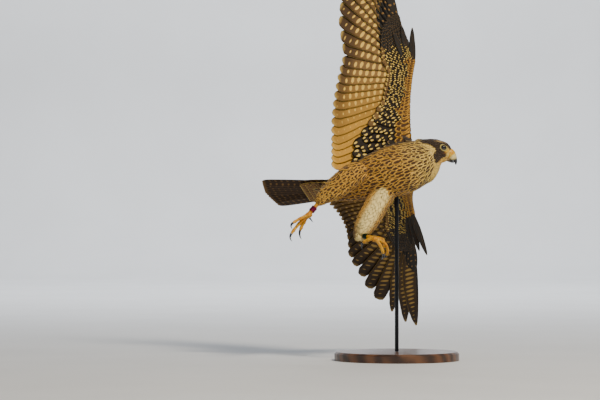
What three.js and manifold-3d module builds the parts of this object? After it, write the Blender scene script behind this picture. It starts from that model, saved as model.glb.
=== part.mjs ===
// A peregrine falcon banking in flight, life size, held over a flat base by one rod.
// Millimetres, +Z up. The bird flies towards +X and shows its underside to -Y.
// The origin is the centre of the base's underside.
import * as THREE from "three";
import { mergeVertices } from "three/addons/utils/BufferGeometryUtils.js";
import Module from "manifold-3d";

const wasm = await Module();
wasm.setup();

// Driving dimensions
const GAP = 0.35; // clearance between touching pieces
const VANE = 0.7; // thickness of a feather vane
const BASE_RADIUS = 128;
const BASE_HEIGHT = 18;
const ROD_RADIUS = 4;
const BODY_CENTRE = new THREE.Vector3(-18, 0, 386);
const BODY = { yaw: 3, pitch: 18, roll: 60 };
const HEAD_CENTRE = new THREE.Vector3(101.3, 5, 49.2); // from the body's centre
const HEAD = { yaw: 1, pitch: -22, roll: 6 };
const EYE = { x: 9.5, y: 13.4, z: 2.5, radius: 7.7 };

// Torso stations along the body: x, centre to the left, height of the centre, half width, half height
const TORSO = [
  [-130, 11, 6, 13, 8],
  [-114, 9, 5, 21, 14],
  [-94, 6.5, 3.5, 29.5, 22],
  [-68, 3, 2, 38, 31],
  [-40, 1, -1, 45, 41],
  [-10, 0, -3, 50, 48],
  [20, 0, -4, 52, 51],
  [46, 0, -4, 50, 50],
  [66, 0, -3, 45.5, 46],
  [80, 0, -2, 41, 41],
  [91, 0, 0, 32, 33],
  [97.5, 0, 1, 20, 21],
  [100, 0, 2, 7, 8],
];
// Head stations along the head: x, half width, top, bottom
const SKULL = [
  [-46, 22, 2, -30],
  [-32, 23, 6.5, -29],
  [-20, 23, 12.5, -28],
  [-8, 22.6, 16.5, -27],
  [4, 21.6, 17.6, -28],
  [13, 18.8, 15.8, -27],
  [20, 14.8, 13, -25],
  [25, 11, 10.6, -21.5],
  [28.5, 8, 8, -17.5],
];

// Small helpers
const rad = THREE.MathUtils.degToRad;
const vec = (x, y, z) => new THREE.Vector3(x, y, z);
const mix = (a, b, t) => a + (b - a) * t;
const clamp01 = (t) => Math.min(1, Math.max(0, t));

/** Frame of an animal's part: x forward, y left, z dorsal, turned by yaw, pitch and roll in degrees. */
function attitude({ yaw, pitch, roll }, origin) {
  const [a, b, c] = [rad(yaw), rad(pitch), rad(roll)];
  const forward = vec(Math.cos(b) * Math.cos(a), Math.cos(b) * Math.sin(a), Math.sin(b));
  const up = vec(-Math.sin(b) * Math.cos(a), -Math.sin(b) * Math.sin(a), Math.cos(b));
  const right = forward.clone().cross(up);
  const dorsal = up.clone().multiplyScalar(Math.cos(c)).addScaledVector(right, -Math.sin(c));
  const left = dorsal.clone().cross(forward);
  return new THREE.Matrix4().makeBasis(forward, left, dorsal).setPosition(origin);
}

const bodyFrame = attitude(BODY, BODY_CENTRE);
const headFrame = attitude(HEAD, BODY_CENTRE.clone().add(HEAD_CENTRE));
const fromBody = (x, y, z) => vec(x, y, z).applyMatrix4(bodyFrame);
const fromHead = (x, y, z) => vec(x, y, z).applyMatrix4(headFrame);
const fromCentre = (x, y, z) => vec(x, y, z).add(BODY_CENTRE);

/** Closed surface through rings of points, with flat caps at both ends. */
function loft(rings) {
  const n = rings[0].length;
  const points = rings.flat();
  const index = [];
  for (let r = 0; r < rings.length - 1; r += 1) {
    for (let k = 0; k < n; k += 1) {
      const a = r * n + k;
      const b = r * n + ((k + 1) % n);
      index.push(a, b, b + n, a, b + n, a + n);
    }
  }
  const caps = [[0, -1], [(rings.length - 1) * n, 1]];
  for (const [start, side] of caps) {
    const centre = vec(0, 0, 0);
    for (let k = 0; k < n; k += 1) centre.addScaledVector(points[start + k], 1 / n);
    points.push(centre);
    for (let k = 0; k < n; k += 1) {
      const a = start + k;
      const b = start + ((k + 1) % n);
      index.push(...(side > 0 ? [a, b, points.length - 1] : [b, a, points.length - 1]));
    }
  }
  return new THREE.BufferGeometry().setFromPoints(points).setIndex(index);
}

/** Manifold solid of a closed geometry, turned inside out if its faces point in. */
function solid(geometry) {
  const bare = geometry.clone();
  bare.deleteAttribute("normal");
  bare.deleteAttribute("uv");
  const merged = mergeVertices(bare, 1e-4);
  const vertProperties = new Float32Array(merged.attributes.position.array);
  const triVerts = new Uint32Array(merged.index.array);
  const p = (i) => vec(...vertProperties.slice(3 * i, 3 * i + 3));
  let volume = 0;
  for (let i = 0; i < triVerts.length; i += 3) {
    volume += p(triVerts[i]).dot(p(triVerts[i + 1]).cross(p(triVerts[i + 2])));
  }
  if (volume < 0) {
    for (let i = 0; i < triVerts.length; i += 3) {
      [triVerts[i + 1], triVerts[i + 2]] = [triVerts[i + 2], triVerts[i + 1]];
    }
  }
  return new wasm.Manifold(new wasm.Mesh({ numProp: 3, vertProperties, triVerts }));
}

const join = (solids) => solids.reduce((whole, s) => whole.add(s));
const cut = (whole, ...tools) => tools.reduce((left, t) => left.subtract(t), whole);
const largest = (s) => s.decompose().reduce((best, b) => (b.volume() > best.volume() ? b : best));

/** Keeps the side of a plane that its normal points to. */
function keepSide(s, point, normal, offset) {
  return s.trimByPlane(normal.toArray(), normal.dot(point) + offset);
}

/** Ring of n points of a superellipse in the plane of two axes. */
function ring(centre, side, up, halfWidth, halfHeight, n, power = 2.2) {
  return Array.from({ length: n }, (_, k) => {
    const a = (2 * Math.PI * k) / n;
    const bend = (v) => Math.sign(v) * Math.abs(v) ** (2 / power);
    return centre
      .clone()
      .addScaledVector(side, halfWidth * bend(Math.cos(a)))
      .addScaledVector(up, halfHeight * bend(Math.sin(a)));
  });
}

/** Tube through points with a radius at each, its rings square to the path. */
function tube(path, radii, n) {
  const hint = path[0].clone().sub(path[path.length - 1]).cross(vec(0.3, 1, 0.2)).normalize();
  return loft(
    path.map((p, i) => {
      const before = path[Math.max(0, i - 1)];
      const after = path[Math.min(path.length - 1, i + 1)];
      const tangent = after.clone().sub(before).normalize();
      const side = hint.clone().addScaledVector(tangent, -hint.dot(tangent)).normalize();
      return ring(p, side, tangent.clone().cross(side), radii[i], radii[i], n, 2);
    }),
  );
}

// Torso, neck and head
const bodySide = vec(0, 1, 0).transformDirection(bodyFrame);
const bodyUp = vec(0, 0, 1).transformDirection(bodyFrame);
const headSide = vec(0, 1, 0).transformDirection(headFrame);
const headUp = vec(0, 0, 1).transformDirection(headFrame);
const headForward = vec(1, 0, 0).transformDirection(headFrame);
const bodyForward = vec(1, 0, 0).transformDirection(bodyFrame);

function torsoSolid(swell) {
  return solid(
    loft(
      TORSO.map(([x, y, z, w, h]) => ring(fromBody(x, y, z), bodySide, bodyUp, w + swell, h + swell, 20)),
    ),
  );
}

// Neck sections as shares of the way from the breast to the head: shift to the throat, half sizes
const NECK = [
  [-0.5, 0, 44, 44],
  [-0.2, 6, 44, 43],
  [0.1, 9, 41, 40],
  [0.4, 10, 37.5, 36],
  [0.7, 9, 33.5, 31],
  [1, 8, 30.5, 27],
  [1.2, 7, 27, 23],
];
const neckStart = fromBody(62, 0, -1);
const neckEnd = fromHead(-14, 0, -8);
const neckAxis = neckEnd.clone().sub(neckStart).normalize();
const neckDepth = vec(0, 1, 0).addScaledVector(neckAxis, -neckAxis.y).normalize();
const neckThroat = neckDepth.clone().cross(neckAxis).normalize();
// Planes that part the trunk into torso, neck and head, with the way to the head
const neckCut = {
  point: fromBody(64, 0, 0),
  normal: neckAxis.clone().add(bodyForward).normalize(),
};
const headCut = {
  point: fromHead(-20, 0, -6),
  normal: neckAxis.clone().addScaledVector(headForward, 0.6).normalize(),
};

function neckSolid(swell) {
  return solid(
    loft(
      NECK.map(([t, shift, front, depth]) =>
        ring(
          neckStart.clone().lerp(neckEnd, t).addScaledVector(neckThroat, shift),
          neckDepth,
          neckThroat,
          depth + swell,
          front + swell,
          20,
          2,
        ),
      ),
    ),
  );
}

function skullSolid() {
  const rings = SKULL.map(([x, w, top, bottom]) =>
    ring(fromHead(x, 0, (top + bottom) / 2), headSide, headUp, w, (top - bottom) / 2, 24),
  );
  return solid(loft(rings));
}

function ellipsoid(centre, radii, frame, detail = 10) {
  const g = new THREE.SphereGeometry(1, detail, Math.round(detail * 0.7));
  g.scale(...radii);
  g.applyMatrix4(frame.clone().setPosition(centre));
  return solid(g);
}

/** Pieces of the head that come in pairs. */
function eyeParts(side) {
  const centre = fromHead(EYE.x, side * EYE.y, EYE.z);
  const outward = vec(0.22, side, 0.1).normalize().transformDirection(headFrame);
  const turn = new THREE.Quaternion().setFromUnitVectors(vec(0, 0, 1), outward);
  const lid = new THREE.TorusGeometry(6.3, 1.5, 6, 16);
  lid.applyQuaternion(turn);
  lid.translate(...centre.clone().addScaledVector(outward, 5.2).toArray());
  const ball = new THREE.SphereGeometry(EYE.radius, 16, 10);
  ball.translate(...centre.toArray());
  const socket = new THREE.SphereGeometry(EYE.radius + GAP, 16, 10);
  socket.translate(...centre.toArray());
  const brow = ellipsoid(fromHead(EYE.x - 1, side * 15.2, EYE.z + 7.6), [11, 5.2, 3], headFrame);
  return { lid: solid(lid), ball: solid(ball), socket: solid(socket), brow };
}

// Bill: path points in the head's frame with half width, height above the path and depth below it
const UPPER_BILL = [
  [25, 0.5, 8.6, 9.4, 12.6],
  [30, 0, 7.9, 8.8, 12.6],
  [35.5, -2.8, 6.6, 7.4, 11.2],
  [40, -6.3, 5, 5.8, 8],
  [43.6, -9.8, 3.4, 4, 4.4],
  [46.2, -13.2, 2.1, 2.3, 2.3],
  [47.9, -17.2, 0.6, 0.6, 0.6],
];
const LOWER_BILL = [
  [24, -13, 7.4, 4.6, 4.6],
  [29, -13.9, 6.2, 4, 4],
  [34, -14.4, 4.8, 3.3, 3.3],
  [38.5, -14.2, 3.2, 2.5, 2.5],
  [41.2, -13.6, 1.5, 1.3, 1.3],
];
const BILL_START = 26.5;
const CERE_END = 34.5;
const MOUTH = { tilt: 4.7, height: -8.6, cheek: 11.5 }; // the line of the mouth, at the origin of the head
const HOOK_START = 42.2; // the hook is free of the mouth from here on
const NOSTRIL = { x: 32, y: 9.4, z: 0.4, radius: 1.4 };
const TOOTH = { x: 40.2, y: 2.9, z: -11.5, radii: [1.8, 1, 1.6] };

function billSolid(rows, n) {
  const path = rows.map(([x, z]) => vec(x, 0, z));
  return solid(
    loft(
      rows.map(([x, z, wide, high, deep], i) => {
        const before = path[Math.max(0, i - 1)];
        const after = path[Math.min(rows.length - 1, i + 1)];
        const tangent = after.clone().sub(before).normalize().transformDirection(headFrame);
        const up = headSide.clone().cross(tangent).negate().normalize();
        const centre = fromHead(x, 0, z);
        return ring(centre, headSide, up, wide, high, n, 2).map((p) => {
          const rise = p.clone().sub(centre).dot(up);
          return rise < 0 ? p.addScaledVector(up, rise * (deep / high - 1)) : p;
        });
      }),
    ),
  );
}

/** Box set on the line of the mouth: x from the origin of the head, z from that line. */
function mouthBox(size, x, z) {
  const box = new THREE.BoxGeometry(...size);
  box.translate(x, 0, z);
  box.rotateY(rad(MOUTH.tilt));
  box.translate(0, 0, MOUTH.height);
  box.applyMatrix4(headFrame);
  return solid(box);
}

/** Room above the line of the mouth, lowered by a gap. */
function aboveMouth(drop) {
  return mouthBox([80, 40, 40], 30, 20 - drop);
}

/** Room for the hook, which reaches below the line of the mouth. */
function beforeMouth() {
  return mouthBox([20, 40, 60], HOOK_START + 10, 0);
}

/** Slit that carries the mouth back into each cheek, no deeper than the cheek's skin. */
function gapeSlit() {
  return cut(mouthBox([14, 60, 0.7], 23, 0), mouthBox([30, 2 * MOUTH.cheek, 30], 18, 0));
}

function headNodes() {
  const back = headForward.clone().negate();
  const billPoint = fromHead(BILL_START, 0, 0);
  const cerePoint = fromHead(CERE_END, 0, 0);
  const eyes = [-1, 1].map(eyeParts);
  const rough = keepSide(trunkSolid(), headCut.point, headCut.normal, GAP / 2);
  const lidded = keepSide(join([rough, ...eyes.flatMap((e) => [e.lid, e.brow])]), billPoint, back, 0);
  const head = cut(lidded, gapeSlit(), ...eyes.map((e) => e.socket));

  const nostrils = [-1, 1].map((side) => {
    const hole = new THREE.CylinderGeometry(NOSTRIL.radius, NOSTRIL.radius, 6, 10);
    hole.applyMatrix4(headFrame.clone().setPosition(fromHead(NOSTRIL.x, side * NOSTRIL.y, NOSTRIL.z)));
    return solid(hole);
  });
  const teeth = (swell) =>
    [-1, 1].map((side) => {
      const radii = TOOTH.radii.map((r) => r + swell);
      return ellipsoid(fromHead(TOOTH.x, side * TOOTH.y, TOOTH.z), radii, headFrame, 8);
    });
  const upperRoom = aboveMouth(0).add(beforeMouth());
  const upper = cut(
    keepSide(billSolid(UPPER_BILL, 14), billPoint, headForward, GAP).intersect(upperRoom),
    ...nostrils,
  );
  const lower = keepSide(billSolid(LOWER_BILL, 12), billPoint, headForward, GAP);
  return {
    head: largest(head),
    cere: keepSide(upper, cerePoint, back, GAP / 2),
    bill_upper: join([keepSide(upper, cerePoint, headForward, GAP / 2), ...teeth(0)]),
    bill_lower: cut(lower, aboveMouth(GAP), ...teeth(GAP)),
    eye_right: eyes[0].ball,
    eye_left: eyes[1].ball,
  };
}

/** Torso, neck and skull as one body, before it is parted. */
function trunkSolid() {
  return join([torsoSolid(0), neckSolid(0), skullSolid()]);
}

function torsoNode() {
  const whole = torsoSolid(0).add(neckSolid(0));
  return largest(keepSide(whole, neckCut.point, neckCut.normal.clone().negate(), GAP / 2));
}

function neckNode() {
  const front = keepSide(trunkSolid(), neckCut.point, neckCut.normal, GAP / 2);
  return largest(keepSide(front, headCut.point, headCut.normal.clone().negate(), GAP / 2));
}

// Wings. Each lies on a surface with p outward and q forward from the shoulder.
const CAMBER = 0.00055; // droop of the vanes behind the bones, per millimetre squared
const WINGS = {
  right: {
    shoulder: [42, -30, 20],
    forward: [0.937, 0.05, 0.345],
    outward: [-0.342, 0, 0.94],
    armRaise: 6,
    handRaise: -5,
    elbow: [82, 9],
    wrist: [158, 72],
    handEnd: [256, 84],
    primaryAngles: [-56, -49.5, -42, -34.5, -28, -22, -16, -10, -4.5, 0.5],
    secondaries: { inner: 144, outer: 136, dip: 0, angle: -61 },
    tertials: 1,
    alula: [
      { angle: 21, length: 78, lift: -4 },
      { angle: 9, length: 84, lift: -3 },
      { angle: -3, length: 72, lift: -1 },
    ],
  },
  left: {
    shoulder: [42, 30, 20],
    forward: [0.995, 0, 0.08],
    outward: [0.07, 0, -1],
    armRaise: 58,
    handRaise: 44,
    elbow: [66, -46],
    wrist: [150, -6],
    handEnd: [248, 4],
    primaryAngles: [-68, -62, -56, -48, -38, -28.5, -19.5, -12, -4.5, 0.5],
    secondaries: { inner: 140, outer: 134, dip: 44, angle: -70 },
    tertials: 0.85,
    alula: [
      { angle: 19, length: 97, lift: -44 },
      { angle: 13, length: 88, lift: -32 },
      { angle: 6, length: 76, lift: -20 },
    ],
  },
};

/** q of the wing bones at p. */
function boneAt(w, p) {
  const bones = [[0, 0], w.elbow, w.wrist, w.handEnd];
  const i = p < w.elbow[0] ? 0 : p < w.wrist[0] ? 1 : 2;
  const t = clamp01((p - bones[i][0]) / (bones[i + 1][0] - bones[i][0]));
  return mix(bones[i][1], bones[i + 1][1], t);
}

/** Maps (p, q, height) of a wing to the part's frame. Height is towards the bird's back. */
function wingSurface(w) {
  const STEP = 10;
  const REACH = 620;
  const forward = vec(...w.forward).normalize();
  const raw = vec(...w.outward);
  const outward = raw.addScaledVector(forward, -raw.dot(forward)).normalize();
  const away = outward.clone().cross(forward);
  if (away.y < 0) away.negate();
  const raiseAt = (p) => {
    const t = clamp01((p - w.wrist[0] + 70) / 150);
    return rad(mix(w.armRaise, w.handRaise, t * t * (3 - 2 * t)));
  };
  const slope = (p) => {
    const a = raiseAt(p);
    return outward.clone().multiplyScalar(Math.cos(a)).addScaledVector(away, Math.sin(a));
  };
  const spots = [fromBody(...w.shoulder)];
  for (let p = 0; p < REACH; p += STEP) {
    spots.push(spots[spots.length - 1].clone().addScaledVector(slope(p + STEP / 2), STEP));
  }
  return (p, q, height) => {
    const i = Math.floor(Math.max(p, 0) / STEP);
    const normal = slope(p).cross(forward);
    if (normal.dot(away) < 0) normal.negate();
    const behind = Math.min(0, q - boneAt(w, p));
    return spots[i]
      .clone()
      .addScaledVector(slope(i * STEP), p - i * STEP)
      .addScaledVector(forward, q)
      .addScaledVector(normal, height - CAMBER * behind * behind);
  };
}

function leadingEdge(w, p) {
  const front = [w.wrist[0] + 2, w.wrist[1] + 19];
  const rootFront = 24;
  const sag = 34;
  if (p < front[0]) {
    const t = Math.max(0, p) / front[0];
    return mix(rootFront, front[1], t) - sag * t * (1 - t);
  }
  const t = clamp01((p - front[0]) / (w.handEnd[0] - front[0]));
  return mix(front[1], w.handEnd[1] + 7, t * t * (3 - 2 * t));
}

// Flesh of the arm and hand: share of its length, depth behind the bones, half thickness
const ARM = [
  [-0.12, 62, 12],
  [0, 62, 13],
  [0.12, 58, 12],
  [0.24, 54, 10.5],
  [0.36, 51, 9],
  [0.48, 47, 8],
  [0.6, 43, 7],
  [0.7, 36, 6],
  [0.8, 26, 5],
  [0.9, 16, 3.8],
  [1, 8, 2.6],
  [1.05, 4, 1.4],
];
// Its section: share of the chord, height above and below as shares of the half thickness
const AIRFOIL = [
  [0, 0],
  [0.06, 0.55],
  [0.22, 1],
  [0.55, 0.8],
  [1, 0.25],
  [1, -0.25],
  [0.55, -0.6],
  [0.22, -0.75],
  [0.06, -0.42],
];

/** The fleshy arm and hand with its small coverts, from the shoulder to the end of the hand. */
function armSolid(w, at) {
  const rings = ARM.map(([share, depth, half]) => {
    const p = share * w.handEnd[0];
    const front = leadingEdge(w, p);
    const chord = front - boneAt(w, p) + depth;
    return AIRFOIL.map(([c, h]) => at(p, front - c * chord, h * half));
  });
  return solid(loft(rings));
}

// Vane outline: share of the length, share of the leading and of the trailing width
const BLUNT = [
  [0, 0.3, 0.3],
  [0.14, 0.8, 0.75],
  [0.45, 1, 1],
  [0.8, 0.95, 0.95],
  [0.94, 0.7, 0.6],
  [1, 0.2, 0.12],
];
const POINTED = [
  [0, 0.3, 0.3],
  [0.14, 0.8, 0.8],
  [0.4, 1, 1],
  [0.7, 0.8, 0.8],
  [0.9, 0.55, 0.42],
  [1, 0.15, 0.1],
];
const COVERT = [
  [0, 0.8, 0.8],
  [0.55, 1, 1],
  [0.9, 0.7, 0.65],
  [1, 0.25, 0.2],
];

/** One thin vane on a surface, its two faces with the same diagonals. */
function vane(at, f) {
  const top = [];
  const bottom = [];
  let [p, q] = f.root;
  let before = 0;
  for (const [t, lead, trail] of f.outline) {
    const a = rad(f.angle - (f.bend ?? 0) * t);
    const step = (t - before) * f.length;
    p += step * Math.cos(a);
    q += step * Math.sin(a);
    before = t;
    const height = (f.height ?? 0) + (f.lift ?? 0) * t;
    const row = [f.lead * lead, -f.trail * trail].map((across) => [
      p - across * Math.sin(a),
      q + across * Math.cos(a),
      height + across * f.tilt,
    ]);
    const half = VANE * (t === 1 ? 0.3 : 0.5);
    top.push(row.map(([x, y, z]) => at(x, y, z + half)));
    bottom.push(row.map(([x, y, z]) => at(x, y, z - half)));
  }
  const points = [...top.flat(), ...bottom.flat()];
  const under = 2 * top.length;
  const index = [];
  for (let i = 0; i < top.length - 1; i += 1) {
    const [l, t, l2, t2] = [2 * i, 2 * i + 1, 2 * i + 2, 2 * i + 3];
    index.push(l, t, t2, l, t2, l2);
    index.push(under + l, under + t2, under + t, under + l, under + l2, under + t2);
    index.push(l, l2, under + l2, l, under + l2, under + l);
    index.push(t, under + t, under + t2, t, under + t2, t2);
  }
  const end = under - 2;
  index.push(0, under, under + 1, 0, under + 1, 1);
  index.push(end, end + 1, under + end + 1, end, under + end + 1, under + end);
  return solid(new THREE.BufferGeometry().setFromPoints(points).setIndex(index));
}

// Flight feathers of a wing
const PRIMARY_LENGTHS = [137, 143, 152, 158, 168, 186, 205, 229, 252, 256];
const PRIMARY_BEND = 5;
const SECONDARIES = 10;
const TERTIALS = 4;
const VANE_TILT = 0.105; // leading edge up, per millimetre across

function flightFeathers(w) {
  const primaries = PRIMARY_LENGTHS.map((length, i) => {
    const u = mix(0.1, 0.97, i / 9);
    return {
      root: [mix(w.wrist[0], w.handEnd[0], u), mix(w.wrist[1], w.handEnd[1], u)],
      angle: w.primaryAngles[i] + PRIMARY_BEND / 2,
      bend: PRIMARY_BEND,
      length,
      lead: mix(8.5, 5.5, i / 9),
      trail: mix(17, 20, i / 9),
      outline: i > 6 ? POINTED : BLUNT,
    };
  });
  const secondaries = Array.from({ length: SECONDARIES }, (_, i) => {
    const t = i / (SECONDARIES - 1);
    const u = mix(0.03, 0.94, t);
    return {
      root: [mix(w.wrist[0], w.elbow[0], u), mix(w.wrist[1], w.elbow[1], u)],
      angle: mix(w.secondaries.angle, -96, t),
      bend: 4,
      length: mix(w.secondaries.outer, w.secondaries.inner, t) - w.secondaries.dip * t * (1 - t),
      lead: 9,
      trail: 17,
      outline: BLUNT,
    };
  });
  const tertials = Array.from({ length: TERTIALS }, (_, i) => {
    const u = mix(0.12, 0.78, i / (TERTIALS - 1));
    return {
      root: [mix(w.elbow[0], 0, u), mix(w.elbow[1], 0, u)],
      angle: mix(-96, -89, i / (TERTIALS - 1)),
      bend: 2,
      length: mix(143, 150, i / (TERTIALS - 1)) * w.tertials,
      lead: 9,
      trail: 17,
      outline: BLUNT,
    };
  });
  return [...primaries, ...secondaries, ...tertials].map((f) => ({ ...f, tilt: VANE_TILT }));
}

const COVERT_SHARE = 0.44; // length of a greater covert as a share of its flight feather
const COVERT_MOST = 84;
const COVERT_HEIGHT = 2.9;

function wingSolid(w) {
  const at = wingSurface(w);
  const flight = flightFeathers(w);
  const coverts = [1, -1].flatMap((side) =>
    flight.filter((_, i) => i % 2 === 1).map((f, i) => ({
      ...f,
      length: Math.min(f.length * COVERT_SHARE, COVERT_MOST),
      height: side * COVERT_HEIGHT,
      lift: side * -0.4,
      lead: 9,
      trail: 15,
      outline: COVERT,
    })),
  );
  const alula = w.alula.map((a, i) => ({
    ...a,
    root: [w.wrist[0] - 4 + 3 * i, w.wrist[1] + 11 - 4 * i],
    height: -2.2 - 1.1 * i,
    bend: 6,
    lead: 5,
    trail: 9,
    tilt: VANE_TILT,
    outline: POINTED,
  }));
  return join([armSolid(w, at), ...[...flight, ...coverts, ...alula].map((f) => vane(at, f))]);
}

// Tail, in a frame with x forward, y left and z to the back
const TAIL = { length: 177, yaw: -25, pitch: 3, roll: 34, root: [-98, 9, 5] };
const RECTRICES = 12;
const TAIL_FAN = 8; // degrees from the axis to the outermost feather
const RUMP = [[-22, 23, 17], [0, 26, 17], [22, 28, 15], [42, 27, 11], [58, 23, 6.5], [68, 14, 3]];

function tailSolid() {
  const frame = attitude(TAIL, fromBody(...TAIL.root));
  const rump = loft(
    RUMP.map(([x, w, h]) =>
      Array.from({ length: 12 }, (_, k) => {
        const a = (k * Math.PI) / 6;
        return vec(-x, w * Math.cos(a), h * Math.sin(a)).applyMatrix4(frame);
      }),
    ),
  );
  const vanes = [];
  for (let i = 0; i < RECTRICES; i += 1) {
    const rank = i - (RECTRICES - 1) / 2;
    const side = Math.sign(rank);
    const middle = Math.abs(rank) < 1;
    const inner = middle ? 7 : 13;
    const height = middle && side > 0 ? 0.8 : 0;
    const at = (p, q, h) => vec(-p, side * q, h).applyMatrix4(frame);
    const angle = (Math.abs(rank) / (RECTRICES / 2)) * TAIL_FAN;
    const f = { root: [8, Math.abs(rank) * 4], angle, tilt: 0.12, outline: BLUNT };
    const length = TAIL.length - 8 - Math.abs(rank) * 1.6;
    vanes.push(vane(at, { ...f, length, height, lead: 9, trail: inner }));
    for (const face of [1, -1]) {
      const covert = { ...f, height: face * 3.2, lift: -face, tilt: 0.12, outline: COVERT };
      if (i % 3 === 1) vanes.push(vane(at, { ...covert, length: 78, lead: 8, trail: 8 }));
    }
  }
  return join([solid(rump), ...vanes]);
}

// Legs, from the body's centre
const LEGS = {
  right: {
    hip: [-52, -30, 4],
    knee: [-72, -38, -6],
    ankle: [-133, -50, -52],
    foot: [-163, -58, -87],
    toeForward: [-0.76, -0.1, -0.64],
    sole: [0.56, -0.42, -0.5],
    thigh: [20, 25, 25, 21, 15, 8.5],
    cuff: 17,
    curl: [14, 18, 10, 10],
    spread: 1,
    hind: { angle: 90, drop: -25, length: 22 },
    band: 27,
  },
  left: {
    hip: [6, -6, -18],
    knee: [-6, -14, -36],
    ankle: [-58, -30, -128],
    foot: [-29, -60, -136],
    toeForward: [0.9, -0.15, -0.1],
    sole: [-0.2, 0.6, -0.78],
    thigh: [20, 25, 25, 24, 16, 11],
    cuff: 4,
    curl: [70, 115, 110, 45],
    spread: 1.4,
    hind: { angle: 176, drop: 5, length: 27 },
    band: 12,
  },
};
const TARSUS_RADIUS = 4.2;
const ANKLE_RADIUS = 5;
const SCALED_TOE = [1, 1.05, 0.86, 1, 0.82, 0.92, 0.66]; // pads and joints along a toe
const CLAW_RADII = [2.4, 2.3, 1.9, 1.4, 0.9, 0.35];
const CLAW_BEND = 75;
const BAND = { height: 11, radius: 6.1 };
const TOES = [
  { name: "inner", angle: 30, length: 38, radius: 3.9, claw: 20 },
  { name: "middle", angle: 0, length: 54, radius: 3.7, claw: 18 },
  { name: "outer", angle: -30, length: 45, radius: 3.5, claw: 16 },
  { name: "hind", radius: 3.9, claw: 19 },
];

function legFrame(leg) {
  const forward = vec(...leg.toeForward).normalize();
  const sole = vec(...leg.sole);
  sole.addScaledVector(forward, -sole.dot(forward)).normalize();
  return { forward, sole, side: sole.clone().cross(forward) };
}

/** Arc that starts at a point, heads one way and bends towards another. */
function arc(start, heading, towards, length, bend, steps) {
  const points = [start.clone()];
  for (let i = 0; i < steps; i += 1) {
    const a = rad(bend) * ((i + 0.5) / steps);
    const step = length / steps;
    points.push(
      points[i]
        .clone()
        .addScaledVector(heading, step * Math.cos(a))
        .addScaledVector(towards, step * Math.sin(a)),
    );
  }
  return points;
}

/** Toe along an arc, and the claw that carries the arc on. */
function toeAndClaw(foot, heading, under, toe, bend) {
  const steps = SCALED_TOE.length - 1;
  const points = arc(foot, heading, under, toe.length, bend, steps);
  const radii = SCALED_TOE.map((share) => share * toe.radius);
  const a = rad(bend);
  const tipHeading = heading.clone().multiplyScalar(Math.cos(a)).addScaledVector(under, Math.sin(a));
  const tipUnder = under.clone().multiplyScalar(Math.cos(a)).addScaledVector(heading, -Math.sin(a));
  const start = points[steps].clone().addScaledVector(tipHeading, GAP);
  const hook = arc(start, tipHeading, tipUnder, toe.claw, CLAW_BEND, CLAW_RADII.length - 1);
  return {
    toe: solid(tube(points, radii, 8)),
    claw: solid(tube(hook, CLAW_RADII, 8)),
    clawSpace: solid(tube(hook, CLAW_RADII.map((r) => r + GAP), 8)),
  };
}

function legNodes(torsoGap) {
  const nodes = {};
  for (const [side, leg] of Object.entries(LEGS)) {
    const [hip, knee, ankle, foot] = [leg.hip, leg.knee, leg.ankle, leg.foot].map((p) => fromCentre(...p));
    const { forward, sole, side: across } = legFrame(leg);
    const down = foot.clone().sub(ankle).normalize();
    const onTarsus = (distance) => ankle.clone().addScaledVector(down, distance);
    const calf = [0.35, 0.7].map((t) => knee.clone().lerp(ankle, t));
    const thigh = solid(tube([hip, knee, ...calf, ankle, onTarsus(leg.cuff)], leg.thigh, 16));
    const shank = (swell) => {
      const end = foot.clone().addScaledVector(down, swell - 3);
      const path = [onTarsus(-4 - swell), ankle.clone().lerp(foot, 0.5), end];
      const radii = [ANKLE_RADIUS, TARSUS_RADIUS, TARSUS_RADIUS + 0.4];
      return solid(tube(path, radii.map((r) => r + swell), 12));
    };
    const sleeve = (swell) => {
      const path = [onTarsus(leg.band - swell), onTarsus(leg.band + BAND.height + swell)];
      return solid(tube(path, [BAND.radius + swell, BAND.radius + swell], 16));
    };
    const soleFrame = new THREE.Matrix4().makeBasis(forward, across.clone().negate(), sole.clone().negate());
    const pad = ellipsoid(foot.clone().addScaledVector(sole, 1), [7.5, 7.5, 5.5], soleFrame, 12);
    const toes = TOES.map((toe, i) => {
      const hind = toe.name === "hind";
      const turn = rad(hind ? leg.hind.angle : toe.angle * leg.spread);
      const drop = rad(hind ? leg.hind.drop : 0);
      const heading = forward
        .clone()
        .multiplyScalar(Math.cos(turn) * Math.cos(drop))
        .addScaledVector(across, Math.sin(turn) * Math.cos(drop))
        .addScaledVector(sole, Math.sin(drop));
      const under = sole.clone().addScaledVector(heading, -sole.dot(heading)).normalize();
      const length = hind ? leg.hind.length : toe.length;
      return toeAndClaw(foot, heading, under, { ...toe, length }, leg.curl[i]);
    });
    const shankSpace = shank(GAP);
    const sleeveSpace = sleeve(GAP);
    const clawSpace = toes.map((t) => t.clawSpace);
    nodes[`thigh_${side}`] = largest(cut(thigh, torsoGap, shankSpace, sleeveSpace));
    nodes[`tarsus_${side}`] = shank(0);
    const flesh = join([pad, ...toes.map((t) => t.toe)]);
    nodes[`foot_${side}`] = largest(cut(flesh, shankSpace, sleeveSpace, ...clawSpace));
    nodes[`leg_band_${side}`] = cut(sleeve(0), shankSpace);
    TOES.forEach((toe, i) => {
      nodes[`claw_${side}_${toe.name}`] = toes[i].claw;
    });
  }
  return nodes;
}

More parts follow.
